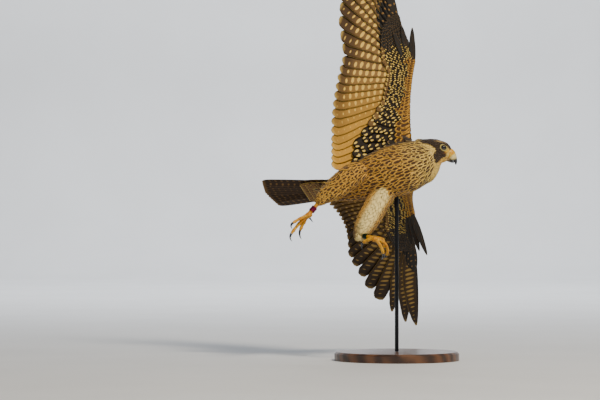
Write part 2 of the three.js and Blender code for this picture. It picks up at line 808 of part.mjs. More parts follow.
// Stand
function standNodes(torsoGap) {
  const profile = [
    [0, 0],
    [BASE_RADIUS, 0],
    [BASE_RADIUS, BASE_HEIGHT - 4],
    [BASE_RADIUS - 4, BASE_HEIGHT],
    [0, BASE_HEIGHT],
  ].map(([r, z]) => new THREE.Vector2(r, z));
  const base = new THREE.LatheGeometry(profile, 48).rotateX(Math.PI / 2);
  const foot = BASE_HEIGHT + GAP;
  const top = BODY_CENTRE.z;
  const rod = new THREE.CylinderGeometry(ROD_RADIUS, ROD_RADIUS, top - foot, 16);
  rod.rotateX(Math.PI / 2);
  rod.translate(0, 0, (top + foot) / 2);
  return { stand_base: solid(base), stand_rod: largest(cut(solid(rod), torsoGap)) };
}

function build() {
  const torsoGap = torsoSolid(GAP);
  const neckGap = neckSolid(GAP);
  const nodes = { torso: torsoNode(), neck: neckNode(), ...headNodes() };
  for (const [side, w] of Object.entries(WINGS)) {
    nodes[`wing_${side}`] = largest(cut(wingSolid(w), torsoGap, neckGap));
  }
  nodes.tail = largest(cut(tailSolid(), torsoGap));
  return { ...nodes, ...legNodes(torsoGap), ...standNodes(torsoGap) };
}

// Colour, roughness and metalness of each piece, by its name or the first word of it
const FINISH = {
  torso: [0xb89868, 0.85, 0],
  neck: [0xc4a878, 0.85, 0],
  head: [0x4d3a28, 0.8, 0],
  cere: [0xc9a844, 0.45, 0],
  bill: [0xc9b878, 0.3, 0],
  eye: [0x1a100a, 0.1, 0],
  wing: [0x4a3d30, 0.7, 0],
  tail: [0x3a3027, 0.7, 0],
  thigh: [0xc2a26c, 0.85, 0],
  tarsus: [0xd9a520, 0.5, 0],
  foot: [0xd9a520, 0.5, 0],
  claw: [0x141416, 0.25, 0],
  leg_band_right: [0x7d1a3c, 0.35, 0.8],
  leg_band_left: [0x173a26, 0.35, 0.8],
  stand_base: [0x4a3524, 0.5, 0],
  stand_rod: [0x2c2c2e, 0.4, 0.9],
};

function meshOf(name, s) {
  const made = s.getMesh();
  const geometry = new THREE.BufferGeometry();
  const positions = new Float32Array(made.numVert * 3);
  for (let i = 0; i < made.numVert; i += 1) {
    positions.set(made.vertProperties.subarray(i * made.numProp, i * made.numProp + 3), i * 3);
  }
  geometry.setAttribute("position", new THREE.BufferAttribute(positions, 3));
  geometry.setIndex(new THREE.BufferAttribute(made.triVerts, 1));
  const [color, roughness, metalness] = FINISH[name] ?? FINISH[name.split("_")[0]];
  const mesh = new THREE.Mesh(geometry, new THREE.MeshStandardMaterial({ color, roughness, metalness }));
  mesh.name = name;
  return mesh;
}

const falcon = new THREE.Group();
for (const [name, s] of Object.entries(build())) falcon.add(meshOf(name, s));
export default falcon;
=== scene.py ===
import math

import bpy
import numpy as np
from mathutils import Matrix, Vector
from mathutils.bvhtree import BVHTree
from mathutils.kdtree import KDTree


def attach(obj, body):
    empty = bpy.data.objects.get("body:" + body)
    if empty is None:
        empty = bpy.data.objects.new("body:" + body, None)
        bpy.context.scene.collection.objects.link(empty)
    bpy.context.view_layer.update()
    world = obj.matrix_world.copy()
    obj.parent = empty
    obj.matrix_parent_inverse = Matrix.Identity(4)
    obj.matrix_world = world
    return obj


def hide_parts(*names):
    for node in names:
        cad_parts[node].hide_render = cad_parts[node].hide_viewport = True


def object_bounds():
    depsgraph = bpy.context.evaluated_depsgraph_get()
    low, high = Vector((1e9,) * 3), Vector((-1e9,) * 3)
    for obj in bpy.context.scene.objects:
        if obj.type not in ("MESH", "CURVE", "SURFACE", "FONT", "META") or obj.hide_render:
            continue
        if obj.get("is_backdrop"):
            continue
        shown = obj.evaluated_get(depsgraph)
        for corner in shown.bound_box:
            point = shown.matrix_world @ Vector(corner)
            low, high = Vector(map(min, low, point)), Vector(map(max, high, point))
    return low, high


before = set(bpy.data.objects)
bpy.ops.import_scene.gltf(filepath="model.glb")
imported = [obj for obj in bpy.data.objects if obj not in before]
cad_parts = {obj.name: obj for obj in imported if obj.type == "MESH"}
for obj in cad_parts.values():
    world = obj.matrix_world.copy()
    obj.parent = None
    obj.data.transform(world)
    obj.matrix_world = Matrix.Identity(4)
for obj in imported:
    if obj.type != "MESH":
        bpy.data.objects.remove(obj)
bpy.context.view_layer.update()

# %% [markdown]
# # A young peregrine banking on its stand
# The solids that were just loaded fix every size and place of this falcon. They are plain where a real
# bird is not: one closed body for the breast, one for each wing. This lesson dresses them. A single skin
# takes the place of the flesh, thousands of thin mesh feathers lie over it, and the hard parts, such as
# bill, eyes, feet and claws, get finer shapes. Sizes below are in millimetres, as on a taxidermist's
# bench, and become metres only when a mesh is made.

MM = 0.001
SEED = 17

# %% [markdown]
# ## Looking at the bird
# The falcon was seen from a level camera some metres away, with its underside turned to the viewer and
# the tip of one wing above the frame. A long lens at six metres gives the same flat perspective. The
# camera is made first, so that every later piece can be judged through it.

# %% Camera
CAMERA_PLACE = (-0.1984, -6.0, 0.3286)
LENS = 175.61
camera_data = bpy.data.cameras.new("camera")
camera_data.lens = LENS
camera_data.sensor_width = 36
camera = bpy.data.objects.new("camera", camera_data)
camera.location = CAMERA_PLACE
camera.rotation_euler = (math.pi / 2, 0, 0)
bpy.context.scene.collection.objects.link(camera)
bpy.context.scene.camera = camera
print("camera at", CAMERA_PLACE, "with a lens of", LENS, "mm")

# %% [markdown]
# ## The bird's own directions
# A banking body is turned three ways: it points a little aside (yaw), climbs (pitch) and leans (roll).
# Placing a feather is easy in the bird's own directions, forward, left and towards the back, and hard in
# the room's. An `Attitude` changes one into the other. Body, head and tail each have one.

# %% Attitudes of body, head and tail


def unit(v):
    v = np.asarray(v, float)
    return v / np.maximum(np.linalg.norm(v, axis=-1, keepdims=True), 1e-12)


class Attitude:
    """Directions of a turned part: x forward, y left, z towards the back."""

    def __init__(self, yaw, pitch, roll, origin):
        a, b, c = np.radians([yaw, pitch, roll])
        forward = np.array([math.cos(b) * math.cos(a), math.cos(b) * math.sin(a), math.sin(b)])
        up = np.array([-math.sin(b) * math.cos(a), -math.sin(b) * math.sin(a), math.cos(b)])
        right = np.cross(forward, up)
        dorsal = up * math.cos(c) - right * math.sin(c)
        self.axes = np.array([forward, np.cross(dorsal, forward), dorsal])
        self.origin = np.asarray(origin, float)

    def at(self, points):
        return self.origin + np.asarray(points, float) @ self.axes

    def inside(self, points):
        return (np.asarray(points, float) - self.origin) @ self.axes.T


BODY_CENTRE = np.array([-18.0, 0, 386])
body = Attitude(3, 18, 60, BODY_CENTRE)
head = Attitude(1, -22, 6, BODY_CENTRE + [101.3, 5, 49.2])
tail = Attitude(-25, 3, 34, body.at([-98, 9, 5]))
print("the bill points along", head.axes[0].round(2))

# %% [markdown]
# ## Smooth shapes from a few stations
# A torso, a bill or a toe is well told by a short table: a place along it and its width and height there.
# A smooth curve through the table gives as many rings as the skin needs, and rings joined in order make a
# closed surface. It could also be sculpted, but a table keeps the sizes that were measured.

# %% Stations, rings and lofts


def mix(a, b, t):
    return a + (b - a) * t


def smooth(low, high, x):
    t = np.clip((np.asarray(x, float) - low) / (high - low), 0, 1)
    return t * t * (3 - 2 * t)


def through(rows, count):
    """A table of stations made finer by a smooth curve through its rows."""
    rows = np.asarray(rows, float)
    ends = np.vstack([2 * rows[0] - rows[1], rows, 2 * rows[-1] - rows[-2]])
    u = np.linspace(0, len(rows) - 1, count)
    i = np.minimum(u.astype(int), len(rows) - 2)
    t = (u - i)[:, None]
    a, b, c, d = ends[i], ends[i + 1], ends[i + 2], ends[i + 3]
    return 0.5 * (2 * b + (c - a) * t + (2 * a - 5 * b + 4 * c - d) * t**2 + (3 * b - a - 3 * c + d) * t**3)


def ring(centre, side, up, wide, high, n, power=2.2):
    a = np.linspace(0, 2 * math.pi, n, endpoint=False)

    def bend(v):
        return np.sign(v) * np.abs(v) ** (2 / power)

    return centre + np.outer(wide * bend(np.cos(a)), side) + np.outer(high * bend(np.sin(a)), up)


print("three stations become", len(through([(0, 1), (1, 3), (2, 2)], 9)), "on a smooth curve")

# %% Lofts and tubes


def loft(rings):
    """Points and faces of a closed surface through rings of points."""
    rings = np.asarray(rings)
    m, n = rings.shape[:2]
    grid = np.arange(m * n).reshape(m, n)
    turned = np.roll(grid, -1, axis=1)
    sides = np.stack([grid[:-1], turned[:-1], turned[1:], grid[1:]], -1).reshape(-1, 4)
    return rings.reshape(-1, 3), sides.tolist() + [grid[0][::-1].tolist(), grid[-1].tolist()]


def tube(path, radii, n=16, count=None):
    """A round surface along a smooth path."""
    rows = through(np.column_stack([path, radii]), count or 6 * len(path))
    points, r = rows[:, :3], np.maximum(rows[:, 3], 0.05)
    along = unit(np.gradient(points, axis=0))
    hint = unit(np.cross(points[0] - points[-1], [0.3, 1, 0.2]))
    side = unit(hint - along * (along @ hint)[:, None])
    up = np.cross(along, side)
    return loft([ring(p, s, u, q, q, n, 2) for p, s, u, q in zip(points, side, up, r)])


def joined(parts):
    """Several shapes as one list of points and one list of faces."""
    points, faces, start = [], [], 0
    for p, f in parts:
        points.append(p)
        faces += [[start + k for k in face] for face in f]
        start += len(p)
    return np.vstack(points), faces


print("a short tube has", len(tube([(0, 0, 0), (0, 0, 9)], [2, 1])[1]), "faces")

# %% [markdown]
# ## Meshes and pieces
# Two small helpers end up in every step. One turns points and faces into a mesh. The other hangs the
# piece on the frame and hides the solids that it stands for.

# %% Mesh helpers


def turned_out(points, faces):
    """Faces turned round if they would show the inner side of a closed surface."""
    volume = 0.0
    for k in {len(f) for f in faces}:
        some = np.array([f for f in faces if len(f) == k]) if isinstance(faces, list) else faces
        for i in range(1, k - 1):
            a, b, c = (points[some[:, j]] for j in (0, i, i + 1))
            volume += np.einsum("ij,ij->", a, np.cross(b, c))
    if volume >= 0:
        return faces
    return [f[::-1] for f in faces] if isinstance(faces, list) else faces[:, ::-1]


def mesh_of(name, points, faces, materials=()):
    mesh = bpy.data.meshes.new(name)
    faces = turned_out(np.asarray(points, float), faces)
    points = np.asarray(points, np.float64) * MM
    if isinstance(faces, np.ndarray):
        k = faces.shape[1]
        mesh.vertices.add(len(points))
        mesh.vertices.foreach_set("co", points.astype(np.float32).ravel())
        mesh.loops.add(faces.size)
        mesh.loops.foreach_set("vertex_index", faces.astype(np.int32).ravel())
        mesh.polygons.add(len(faces))
        mesh.polygons.foreach_set("loop_start", np.arange(0, faces.size, k, dtype=np.int32))
        mesh.update(calc_edges=True)
    else:
        mesh.from_pydata(points.tolist(), [], faces)
    for m in materials:
        mesh.materials.append(m)
    mesh.polygons.foreach_set("use_smooth", np.ones(len(mesh.polygons), bool))
    return mesh


print("a millimetre is", MM, "of a metre")

# %% Pieces of the bird


def show(mesh, slot, *stands_for, name=None):
    """Puts a mesh in the scene as a piece of the bird."""
    obj = bpy.data.objects.new(name or mesh.name, mesh)
    bpy.context.scene.collection.objects.link(obj)
    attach(obj, "root")
    if stands_for:
        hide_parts(*stands_for)
    print(obj.name, "has", len(mesh.polygons), "faces")
    return obj


def points_of(mesh):
    out = np.zeros(len(mesh.vertices) * 3, np.float32)
    mesh.vertices.foreach_get("co", out)
    return out.reshape(-1, 3).astype(float) / MM


def corners_of(mesh):
    out = np.zeros(len(mesh.loops), np.int32)
    mesh.loops.foreach_get("vertex_index", out)
    return out


def give_colour(mesh, name, values):
    """Writes one colour or four numbers for each point of a mesh."""
    values = np.asarray(values, float)
    if values.shape[1] == 3:
        values = np.column_stack([values, np.ones(len(values))])
    layer = mesh.attributes.new(name, "FLOAT_COLOR", "POINT")
    layer.data.foreach_set("color", values.astype(np.float32).ravel())


def give_uv(mesh, name, uv):
    """Writes a flat map from one (u, v) for each point of a mesh."""
    layer = mesh.uv_layers.new(name=name)
    layer.data.foreach_set("uv", np.asarray(uv, np.float32)[corners_of(mesh)].ravel())


def evaluated(name, points, faces, *modifiers):
    """A mesh after Blender's modifiers, each given as (kind, {setting: value})."""
    obj = bpy.data.objects.new(name, mesh_of(name, points, faces))
    bpy.context.scene.collection.objects.link(obj)
    for kind, settings in modifiers:
        m = obj.modifiers.new(kind, kind)
        for key, value in settings.items():
            setattr(m, key, value)
    graph = bpy.context.evaluated_depsgraph_get()
    made = bpy.data.meshes.new_from_object(obj.evaluated_get(graph))
    bpy.data.objects.remove(obj)
    made.name = name
    return made

# %% [markdown]
# ## Bones of the wing
# A bird's wing lies on a surface that bends twice: up from the shoulder to the wrist and again along the
# hand. Each wing is told by its own directions, the places of elbow, wrist and hand, and the angles of
# its feathers. `at(p, q, h)` gives the place that is p outward along the wing, q forward and h towards
# the back. Every feather of the wing is drawn on this surface, so that one set of numbers bends them all
# together.

# %% The wing's surface
CAMBER = 0.00055
STEP = 10.0


class Wing:
    """A wing's surface; web widens its primaries, and painted shade darkens the flight feathers of a shaded
    wing.
    """

    def __init__(self, name, shoulder, forward, outward, raises, bones,
                 primaries, secondaries, tertials, alula, web, dark_tip_and_painted_shade):
        self.name = name
        self.forward = unit(forward)
        outward = np.asarray(outward, float)
        self.outward = unit(outward - self.forward * (outward @ self.forward))
        away = np.cross(self.outward, self.forward)
        self.away = away if away[1] > 0 else -away
        self.arm_raise, self.hand_raise = np.radians(raises)
        self.bones = np.array([[0, 0], *bones], float)
        self.wrist, self.tip = self.bones[2], self.bones[3]
        self.primary_angles = primaries
        self.secondaries = secondaries
        self.tertials = tertials
        self.alula = alula
        self.web = web
        self.dark_tip_and_painted_shade = dark_tip_and_painted_shade
        stations = [body.at(shoulder)]
        for p in np.arange(0, 640, STEP):
            stations.append(stations[-1] + self.slope(p + STEP / 2) * STEP)
        self.stations = np.array(stations)

    def slope(self, p):
        t = smooth(0, 1, (np.asarray(p, float) - self.wrist[0] + 70) / 150)
        a = mix(self.arm_raise, self.hand_raise, t)[..., None]
        return self.outward * np.cos(a) + self.away * np.sin(a)

    def normal(self, p):
        n = np.cross(self.slope(p), self.forward)
        return n * np.sign(n @ self.away)[..., None]

    def bone(self, p):
        return np.interp(p, self.bones[:, 0], self.bones[:, 1])

    def edge(self, p):
        """q of the leading edge at p."""
        front = self.wrist + [2, 19]
        t = np.clip(np.asarray(p, float), 0, None) / front[0]
        arm = mix(24, front[1], t) - 34 * t * (1 - t)
        hand = mix(front[1], self.tip[1] + 7, smooth(front[0], self.tip[0], p))
        return np.where(np.asarray(p) < front[0], arm, hand)

    def at(self, p, q, h):
        p, q, h = np.broadcast_arrays(*(np.asarray(v, float) for v in (p, q, h)))
        i = (np.maximum(p, 0) // STEP).astype(int)
        along = self.slope(i * STEP) * (p - i * STEP)[..., None]
        behind = np.minimum(0, q - self.bone(p))
        height = (h - CAMBER * behind**2)[..., None]
        return self.stations[i] + along + self.forward * q[..., None] + self.normal(p) * height


print("the surface of a wing is drawn in steps of", STEP, "mm")

# %% Both wings
wing_right = Wing(
    "right",
    shoulder=[42, -30, 20],
    forward=[0.937, 0.05, 0.345],
    outward=[-0.342, 0, 0.94],
    raises=(6, -5),
    bones=[(82, 9), (158, 72), (256, 84)],
    primaries=[-56, -49.5, -42, -34.5, -28, -22, -16, -10, -4.5, 0.5],
    secondaries={"inner": 144, "outer": 136, "dip": 0, "angle": -61},
    tertials=1,
    alula=[(21, 78, -4), (9, 84, -3), (-3, 72, -1)],
    web=1,
    dark_tip_and_painted_shade=0,
)
wing_left = Wing(
    "left",
    shoulder=[42, 30, 20],
    forward=[0.995, 0, 0.08],
    outward=[0.07, 0, -1],
    raises=(58, 44),
    bones=[(66, -46), (150, -6), (248, 4)],
    primaries=[-68, -62, -56, -48, -38, -28.5, -19.5, -12, -4.5, 0.5],
    secondaries={"inner": 140, "outer": 134, "dip": 44, "angle": -70},
    tertials=0.85,
    alula=[(19, 97, -44), (13, 88, -32), (6, 76, -20)],
    web=1.25,
    # Painted shade: this wing hangs in the bird's own shade, so its flight feathers are painted darker
    dark_tip_and_painted_shade=0.7,
)
WINGS = (wing_right, wing_left)
for w in WINGS:
    print(w.name, "wing tip of the hand at", w.at(*w.tip, 0).round())

# %% [markdown]
# ## One skin
# Under its feathers a falcon is all of a piece: no seam runs where the neck meets the breast. The torso,
# neck, skull, thighs, arms and rump are lofted a few millimetres smaller than the solids, which leaves
# room for the coat, and a voxel remesh melts them into a single surface. Sculpting would do as well, but
# the remesh keeps every size that the tables give.

# %% Tables of the flesh
COAT = 3.0
TORSO = [
    (-130, 11, 6, 13, 8), (-114, 9, 5, 21, 14), (-94, 6.5, 3.5, 29.5, 22), (-68, 3, 2, 38, 31),
    (-40, 1, -1, 45, 41), (-10, 0, -3, 50, 48), (20, 0, -4, 52, 51), (46, 0, -4, 50, 50),
    (66, 0, -3, 45.5, 46), (80, 0, -2, 41, 41), (91, 0, 0, 32, 33), (97.5, 0, 1, 20, 21),
]
SKULL = [
    (-46, 22, 2, -30), (-32, 23, 6.5, -29), (-20, 23, 12.5, -28), (-8, 22.6, 16.5, -27), (4, 21.6, 17.6, -28),
    (13, 18.8, 18, -27), (20, 14.8, 15.8, -25), (25, 11, 12.8, -21.5), (28.5, 8, 9, -17.5),
]
NECK = [
    (-0.5, 0, 44, 44), (-0.2, 6, 44, 43), (0.1, 9, 41, 40), (0.4, 10, 37.5, 36), (0.7, 9, 33.5, 31),
    (1, 8, 30.5, 27), (1.2, 7, 27, 23),
]
ARM = [
    (-0.12, 62, 12), (0, 62, 13), (0.12, 58, 12), (0.24, 54, 10.5), (0.36, 51, 9), (0.48, 47, 8),
    (0.6, 43, 7), (0.7, 36, 6), (0.8, 26, 5), (0.9, 16, 3.8), (1, 8, 2.6),
]
BROW_PLACE = (8.5, 14.6, 9.6)
BROW_SIZE = (10.5, 4.8, 2.8)
THIGH_COAT = np.array([3, 3, 3, 3, 2.6, 2.2])
AIRFOIL = [
    (0, 0), (0.06, 0.55), (0.22, 1), (0.55, 0.8), (0.9, 0.3), (0.9, -0.3), (0.55, -0.6), (0.22, -0.75),
    (0.06, -0.42),
]
RUMP = [(-22, 23, 17), (0, 26, 17), (22, 28, 15), (42, 27, 11), (58, 23, 6.5)]
LEGS = {
    "right": {
        "hip": (-52, -30, 4), "knee": (-72, -38, -6), "ankle": (-133, -50, -52), "foot": (-163, -58, -87),
        "toe_forward": (-0.76, -0.1, -0.64), "sole": (0.56, -0.42, -0.5), "thigh": (20, 25, 25, 21, 15, 8.5),
        "cuff": 17, "curl": (14, 18, 10, 10), "spread": 1, "hind": (90, -25, 22), "band": 27,
    },
    "left": {
        "hip": (6, -6, -18), "knee": (-6, -14, -36), "ankle": (-58, -30, -128), "foot": (-29, -60, -136),
        "toe_forward": (0.9, -0.15, -0.1), "sole": (-0.2, 0.6, -0.78), "thigh": (20, 25, 25, 24, 16, 11),
        "cuff": 4, "curl": (70, 115, 110, 45), "spread": 1.4, "hind": (176, 5, 27), "band": 12,
    },
}
neck_start = body.at([62, 0, -1])
neck_end = head.at([-14, 0, -8])
neck_axis = unit(neck_end - neck_start)
neck_depth = unit(np.array([0, 1.0, 0]) - neck_axis * neck_axis[1])
neck_throat = np.cross(neck_depth, neck_axis)
print("the neck points along", neck_axis.round(2))

# %% Lofts of the flesh


def leg_points(leg):
    hip, knee, ankle, foot = (BODY_CENTRE + leg[k] for k in ("hip", "knee", "ankle", "foot"))
    down = unit(foot - ankle)
    return hip, knee, ankle, foot, down


def thigh_path(leg):
    hip, knee, ankle, _, down = leg_points(leg)
    shin = [mix(knee, ankle, 0.35), mix(knee, ankle, 0.7)]
    return np.array([hip, knee, *shin, ankle, ankle + down * leg["cuff"]])


def torso_shape():
    rows = through(TORSO, 50)
    return loft([
        ring(body.at([x, y, z]), body.axes[1], body.axes[2], w - COAT, h - COAT, 40) for x, y, z, w, h in rows
    ])


def neck_shape():
    return loft([
        ring(mix(neck_start, neck_end, t) + neck_throat * s, neck_depth, neck_throat,
             d - COAT, f - COAT, 36, 2)
        for t, s, f, d in through(NECK, 24)
    ])


def skull_shape():
    return loft([
        ring(head.at([x, 0, (top + low) / 2]), head.axes[1], head.axes[2], w - 1.3, (top - low) / 2 - 1.3, 40)
        for x, w, top, low in through(SKULL, 30)
    ])


def bump_shape(frame_of, centre, radii):
    """An egg-shaped swelling, such as a brow."""
    forward, left, back = frame_of.axes
    return loft([
        ring(frame_of.at(centre) + forward * radii[0] * math.sin(t), left, back,
             radii[1] * math.cos(t), radii[2] * math.cos(t), 12, 2)
        for t in np.linspace(-1.45, 1.45, 9)
    ])


def arm_shape(w):
    rings = []
    for share, depth, half in through(ARM, 40):
        p = share * w.tip[0]
        front = w.edge(p) - 1.5
        chord = front - w.bone(p) + 0.8 * depth
        c, h = np.array(AIRFOIL).T
        thick = np.sign(h) * np.maximum(np.abs(h) * (half - 1.5), 1.4 * (np.abs(h) > 0))
        rings.append(w.at(np.full(len(c), p), front - c * chord, thick))
    return loft(rings)


def rump_shape():
    a = np.linspace(0, 2 * math.pi, 20, endpoint=False)
    return loft([
        tail.at(np.column_stack([np.full(20, -x), (w - 2) * np.cos(a), (h - 2) * np.sin(a)]))
        for x, w, h in through(RUMP, 14)
    ])


print("right hip at", leg_points(LEGS["right"])[0].round())

# %% The flesh, loft by loft
x, y, z = BROW_PLACE
flesh = {
    "torso": torso_shape(),
    "neck": neck_shape(),
    "head": joined([skull_shape(), *(bump_shape(head, [x, s * y, z], BROW_SIZE) for s in (-1, 1))]),
    "rump": rump_shape(),
}
for side, leg in LEGS.items():
    flesh["thigh_" + side] = tube(thigh_path(leg), np.array(leg["thigh"]) - THIGH_COAT, 24, 30)
for w in WINGS:
    flesh["arm_" + w.name] = arm_shape(w)
print("lofts:", ", ".join(flesh))

# %% [markdown]
# ## Melting
# Overlapping lofts still show where one ends. A voxel remesh reads them as one lump of clay and wraps it
# in an even net of small squares, and a few rounds of smoothing take away the steps. A finer net would
# keep more, but feathers hide whatever is smaller than two millimetres.

# %% Melt them into one skin
VOXEL = 0.002
skin_points, skin_faces = joined(flesh.values())
skin_mesh = evaluated(
    "skin", skin_points, skin_faces,
    ("REMESH", {"mode": "VOXEL", "voxel_size": VOXEL}),
    ("SMOOTH", {"factor": 0.5, "iterations": 8}),
)
skin_mesh.polygons.foreach_set("use_smooth", np.ones(len(skin_mesh.polygons), bool))
skin = show(skin_mesh, "breast_feathers", "torso", "neck", "head", "thigh_right", "thigh_left")

# %% [markdown]
# ## A flat map of the skin
# Colours can be kept on a flat map only if each spot of the skin has its own place on it. Smart UV
# project cuts the skin into islands by the way they face. Feathers later take their place on the map from
# the spot of skin in which they are rooted.

# %% Unwrap the skin
bpy.context.view_layer.objects.active = skin
skin.select_set(True)
bpy.ops.object.mode_set(mode="EDIT")
bpy.ops.mesh.select_all(action="SELECT")
bpy.ops.uv.smart_project(angle_limit=1.1, island_margin=0.003)
bpy.ops.object.mode_set(mode="OBJECT")
skin_mesh.uv_layers[0].name = "OFBake"
print("map made for", len(skin_mesh.vertices), "points")

# %% [markdown]
# ## Colours of a first-year bird
# A young peregrine is brown above and buff below, and every feather of its breast has a dark streak along
# the shaft. Paints are written as they look on a screen and are turned into the linear numbers that a
# renderer adds and multiplies.

# %% Paints


def paint(code):
    value = np.array([int(code[i : i + 2], 16) / 255 for i in (0, 2, 4)])
    return np.where(value <= 0.04045, value / 12.92, ((value + 0.055) / 1.055) ** 2.4)


CREAM = paint("f6dd90")
PALE_BUFF = paint("e8c566")
BUFF = paint("d29b36")
RUFOUS = paint("a5733a")
TAN = paint("94703f")
STREAK = paint("462d12")
UMBER = paint("3a2716")
DARK = paint("22190f")
SLATE = paint("292520")
BACK = paint("40352a")
BROW_TAN = paint("b0905a")
YOLK = paint("dfae2c")
AMBER = paint("a0601f")
FRINGE = paint("a58358")
print("darkest paint", DARK.round(3), "and palest", CREAM.round(3))

# %% [markdown]
# ## Small words for shader nodes
# Materials here are graphs of nodes made in code. A `Graph` keeps that readable: each of its words adds
# one node and gives back the socket that comes out of it.

# %% Graph helper


class Graph:
    def __init__(self, tree):
        self.tree = tree

    def node(self, kind, *values, **settings):
        made = self.tree.nodes.new(kind)
        for key, value in settings.items():
            setattr(made, key, value)
        for i, value in enumerate(values):
            self.feed(made.inputs[i], value)
        return made

    def feed(self, socket, value):
        if isinstance(value, bpy.types.NodeSocket):
            self.tree.links.new(value, socket)
        elif value is not None:
            if socket.type == "RGBA":
                value = (*value[:3], 1)
            socket.default_value = value

    def math(self, operation, *values):
        return self.node("ShaderNodeMath", *values, operation=operation).outputs[0]

    def plus(self, a, b):
        return self.math("ADD", a, b)

    def minus(self, a, b):
        return self.math("SUBTRACT", a, b)

    def times(self, a, b):
        return self.math("MULTIPLY", a, b)

    def size_of(self, a):
        return self.math("ABSOLUTE", a)

    def ramp(self, value, low, high, out_low=0.0, out_high=1.0):
        """Smooth step of a value from low to high."""
        settings = {"interpolation_type": "SMOOTHSTEP"}
        return self.node("ShaderNodeMapRange", value, low, high, out_low, out_high, **settings).outputs[0]

    def blend(self, share, a, b, how="MIX"):
        made = self.node("ShaderNodeMix", data_type="RGBA", blend_type=how)
        self.feed(made.inputs[0], share)
        self.feed(made.inputs[6], a)
        self.feed(made.inputs[7], b)
        return made.outputs[2]

    def shaded(self, colour, shade):
        """A colour made darker or lighter by a value."""
        grey = self.node("ShaderNodeCombineColor", shade, shade, shade).outputs[0]
        return self.blend(1.0, colour, grey, "MULTIPLY")

    def noise(self, vector, scale, detail=2.0, roughness=0.5):
        made = self.node("ShaderNodeTexNoise")
        if vector is not None:
            self.feed(made.inputs["Vector"], vector)
        self.feed(made.inputs["Scale"], scale)
        self.feed(made.inputs["Detail"], detail)
        self.feed(made.inputs["Roughness"], roughness)
        return made.outputs[0]

    def vector(self, x, y, z):
        return self.node("ShaderNodeCombineXYZ", x, y, z).outputs[0]

    def split(self, vector):
        return self.node("ShaderNodeSeparateXYZ", vector).outputs

    def attribute(self, name):
        return self.node("ShaderNodeAttribute", attribute_name=name)

    def place(self):
        return self.node("ShaderNodeTexCoord").outputs["Object"]


def new_group(name, inputs, outputs):
    """A node group with named sockets, its Graph, and the sockets to read and to write."""
    tree = bpy.data.node_groups.new(name, "ShaderNodeTree")
    for label, kind, value in inputs:
        socket = tree.interface.new_socket(label, in_out="INPUT", socket_type="NodeSocket" + kind)
        if value is not None:
            socket.default_value = (*value, 1) if kind == "Color" else value
    for label, kind in outputs:
        tree.interface.new_socket(label, in_out="OUTPUT", socket_type="NodeSocket" + kind)
    entry = tree.nodes.new("NodeGroupInput").outputs
    leave = tree.nodes.new("NodeGroupOutput").inputs
    return tree, Graph(tree), entry, leave


def new_material(name, roughness=0.6, **constants):
    """A material with one Principled shader, its constants set on the shader's own sockets."""
    material = bpy.data.materials.new(name)
    material.use_nodes = True
    shader = material.node_tree.nodes["Principled BSDF"]
    shader.inputs["Roughness"].default_value = roughness
    for key, value in constants.items():
        shader.inputs[key.replace("_", " ")].default_value = value
    return material, Graph(material.node_tree), shader


def add_bump(g, shader, height, strength, distance):
    bump = g.node("ShaderNodeBump")
    bump.inputs["Strength"].default_value = strength
    bump.inputs["Distance"].default_value = distance
    g.feed(bump.inputs["Height"], height)
    g.feed(shader.inputs["Normal"], bump.outputs[0])


print("words for nodes:", ", ".join(k for k in vars(Graph) if k[0] != "_"))

# %% [markdown]
# ## What is painted on a feather
# All feathers share one plan: a shaft, and barbs that run out from it at a slant. On that plan nature
# paints a dark streak along the shaft, rows of pale spots or bars on either side, and a pale fringe round
# the tip. One group draws all of them from two numbers, how far a spot is across the vane and how far
# along it, so that a breast feather and a primary differ only in what is fed in.

# %% Group: vane markings
marks_tree, g, take, give = new_group(
    "vane markings",
    [
        ("Ground", "Color", BUFF), ("Mark", "Color", STREAK), ("Fringe", "Color", CREAM),
        ("Across", "Float", 0.0), ("Along", "Float", 0.0), ("Streak", "Float", 0.0), ("Spots", "Float", 0.0),
        ("Rows", "Float", 4.0), ("Fringe width", "Float", 0.0), ("Inner web", "Float", 0.0),
        ("Chance", "Float", 0.0),
    ],
    [("Color", "Color"), ("Height", "Float"), ("Roughness", "Float")],
)
across, along, chance = take["Across"], take["Along"], take["Chance"]
seat = g.vector(g.times(across, 1.6), g.times(along, 5.0), g.times(chance, 60.0))
wobble = g.times(g.minus(g.noise(seat, 1.3), 0.5), 0.5)
wide = g.plus(g.size_of(across), wobble)
# The streak is a drop: thin at the root, widest two thirds out, gone before the tip
body_of_drop = g.times(take["Streak"], g.ramp(along, 0.05, 0.72, 0.45, 1.15))
taper = g.ramp(along, 0.74, 0.97, 1.0, 0.0)
drop = g.times(body_of_drop, taper)
streak = g.times(g.ramp(g.minus(drop, wide), -0.07, 0.07), g.ramp(take["Streak"], 0.0, 0.06))
# Spots sit in rows, clear of the shaft and of the edge
beat = g.plus(g.times(along, take["Rows"]), g.times(wide, -0.25))
wave = g.math("SINE", g.times(g.plus(beat, g.times(chance, 0.4)), 2 * math.pi))
off_centre = g.math("DIVIDE", g.minus(wide, 0.46), 0.42)
wave = g.minus(wave, g.times(g.times(off_centre, off_centre), 1.6))
grown = g.plus(wave, g.times(g.minus(take["Spots"], 1.0), 1.3))
clear = g.times(g.ramp(wide, 0.06, 0.16), g.ramp(wide, 0.84, 0.97, 1.0, 0.0))
inner = g.math("MAXIMUM", g.ramp(across, -0.02, 0.1), g.minus(1.0, take["Inner web"]))
ends = g.times(g.ramp(along, 0.06, 0.16), g.ramp(along, 0.9, 0.97, 1.0, 0.0))
spots = g.times(g.times(g.ramp(grown, -0.35, 0.15), clear), g.times(inner, ends))
spots = g.times(spots, g.ramp(take["Spots"], 0.0, 0.15))
mask = g.math("MAXIMUM", streak, spots)
rim = g.math("MAXIMUM", g.size_of(across), g.ramp(along, 0.6, 1.02, 0.0, 1.0))
fringe_start = g.minus(1.02, take["Fringe width"])
fringe = g.times(g.ramp(g.minus(rim, fringe_start), -0.06, 0.1), g.ramp(take["Fringe width"], 0.0, 0.05))
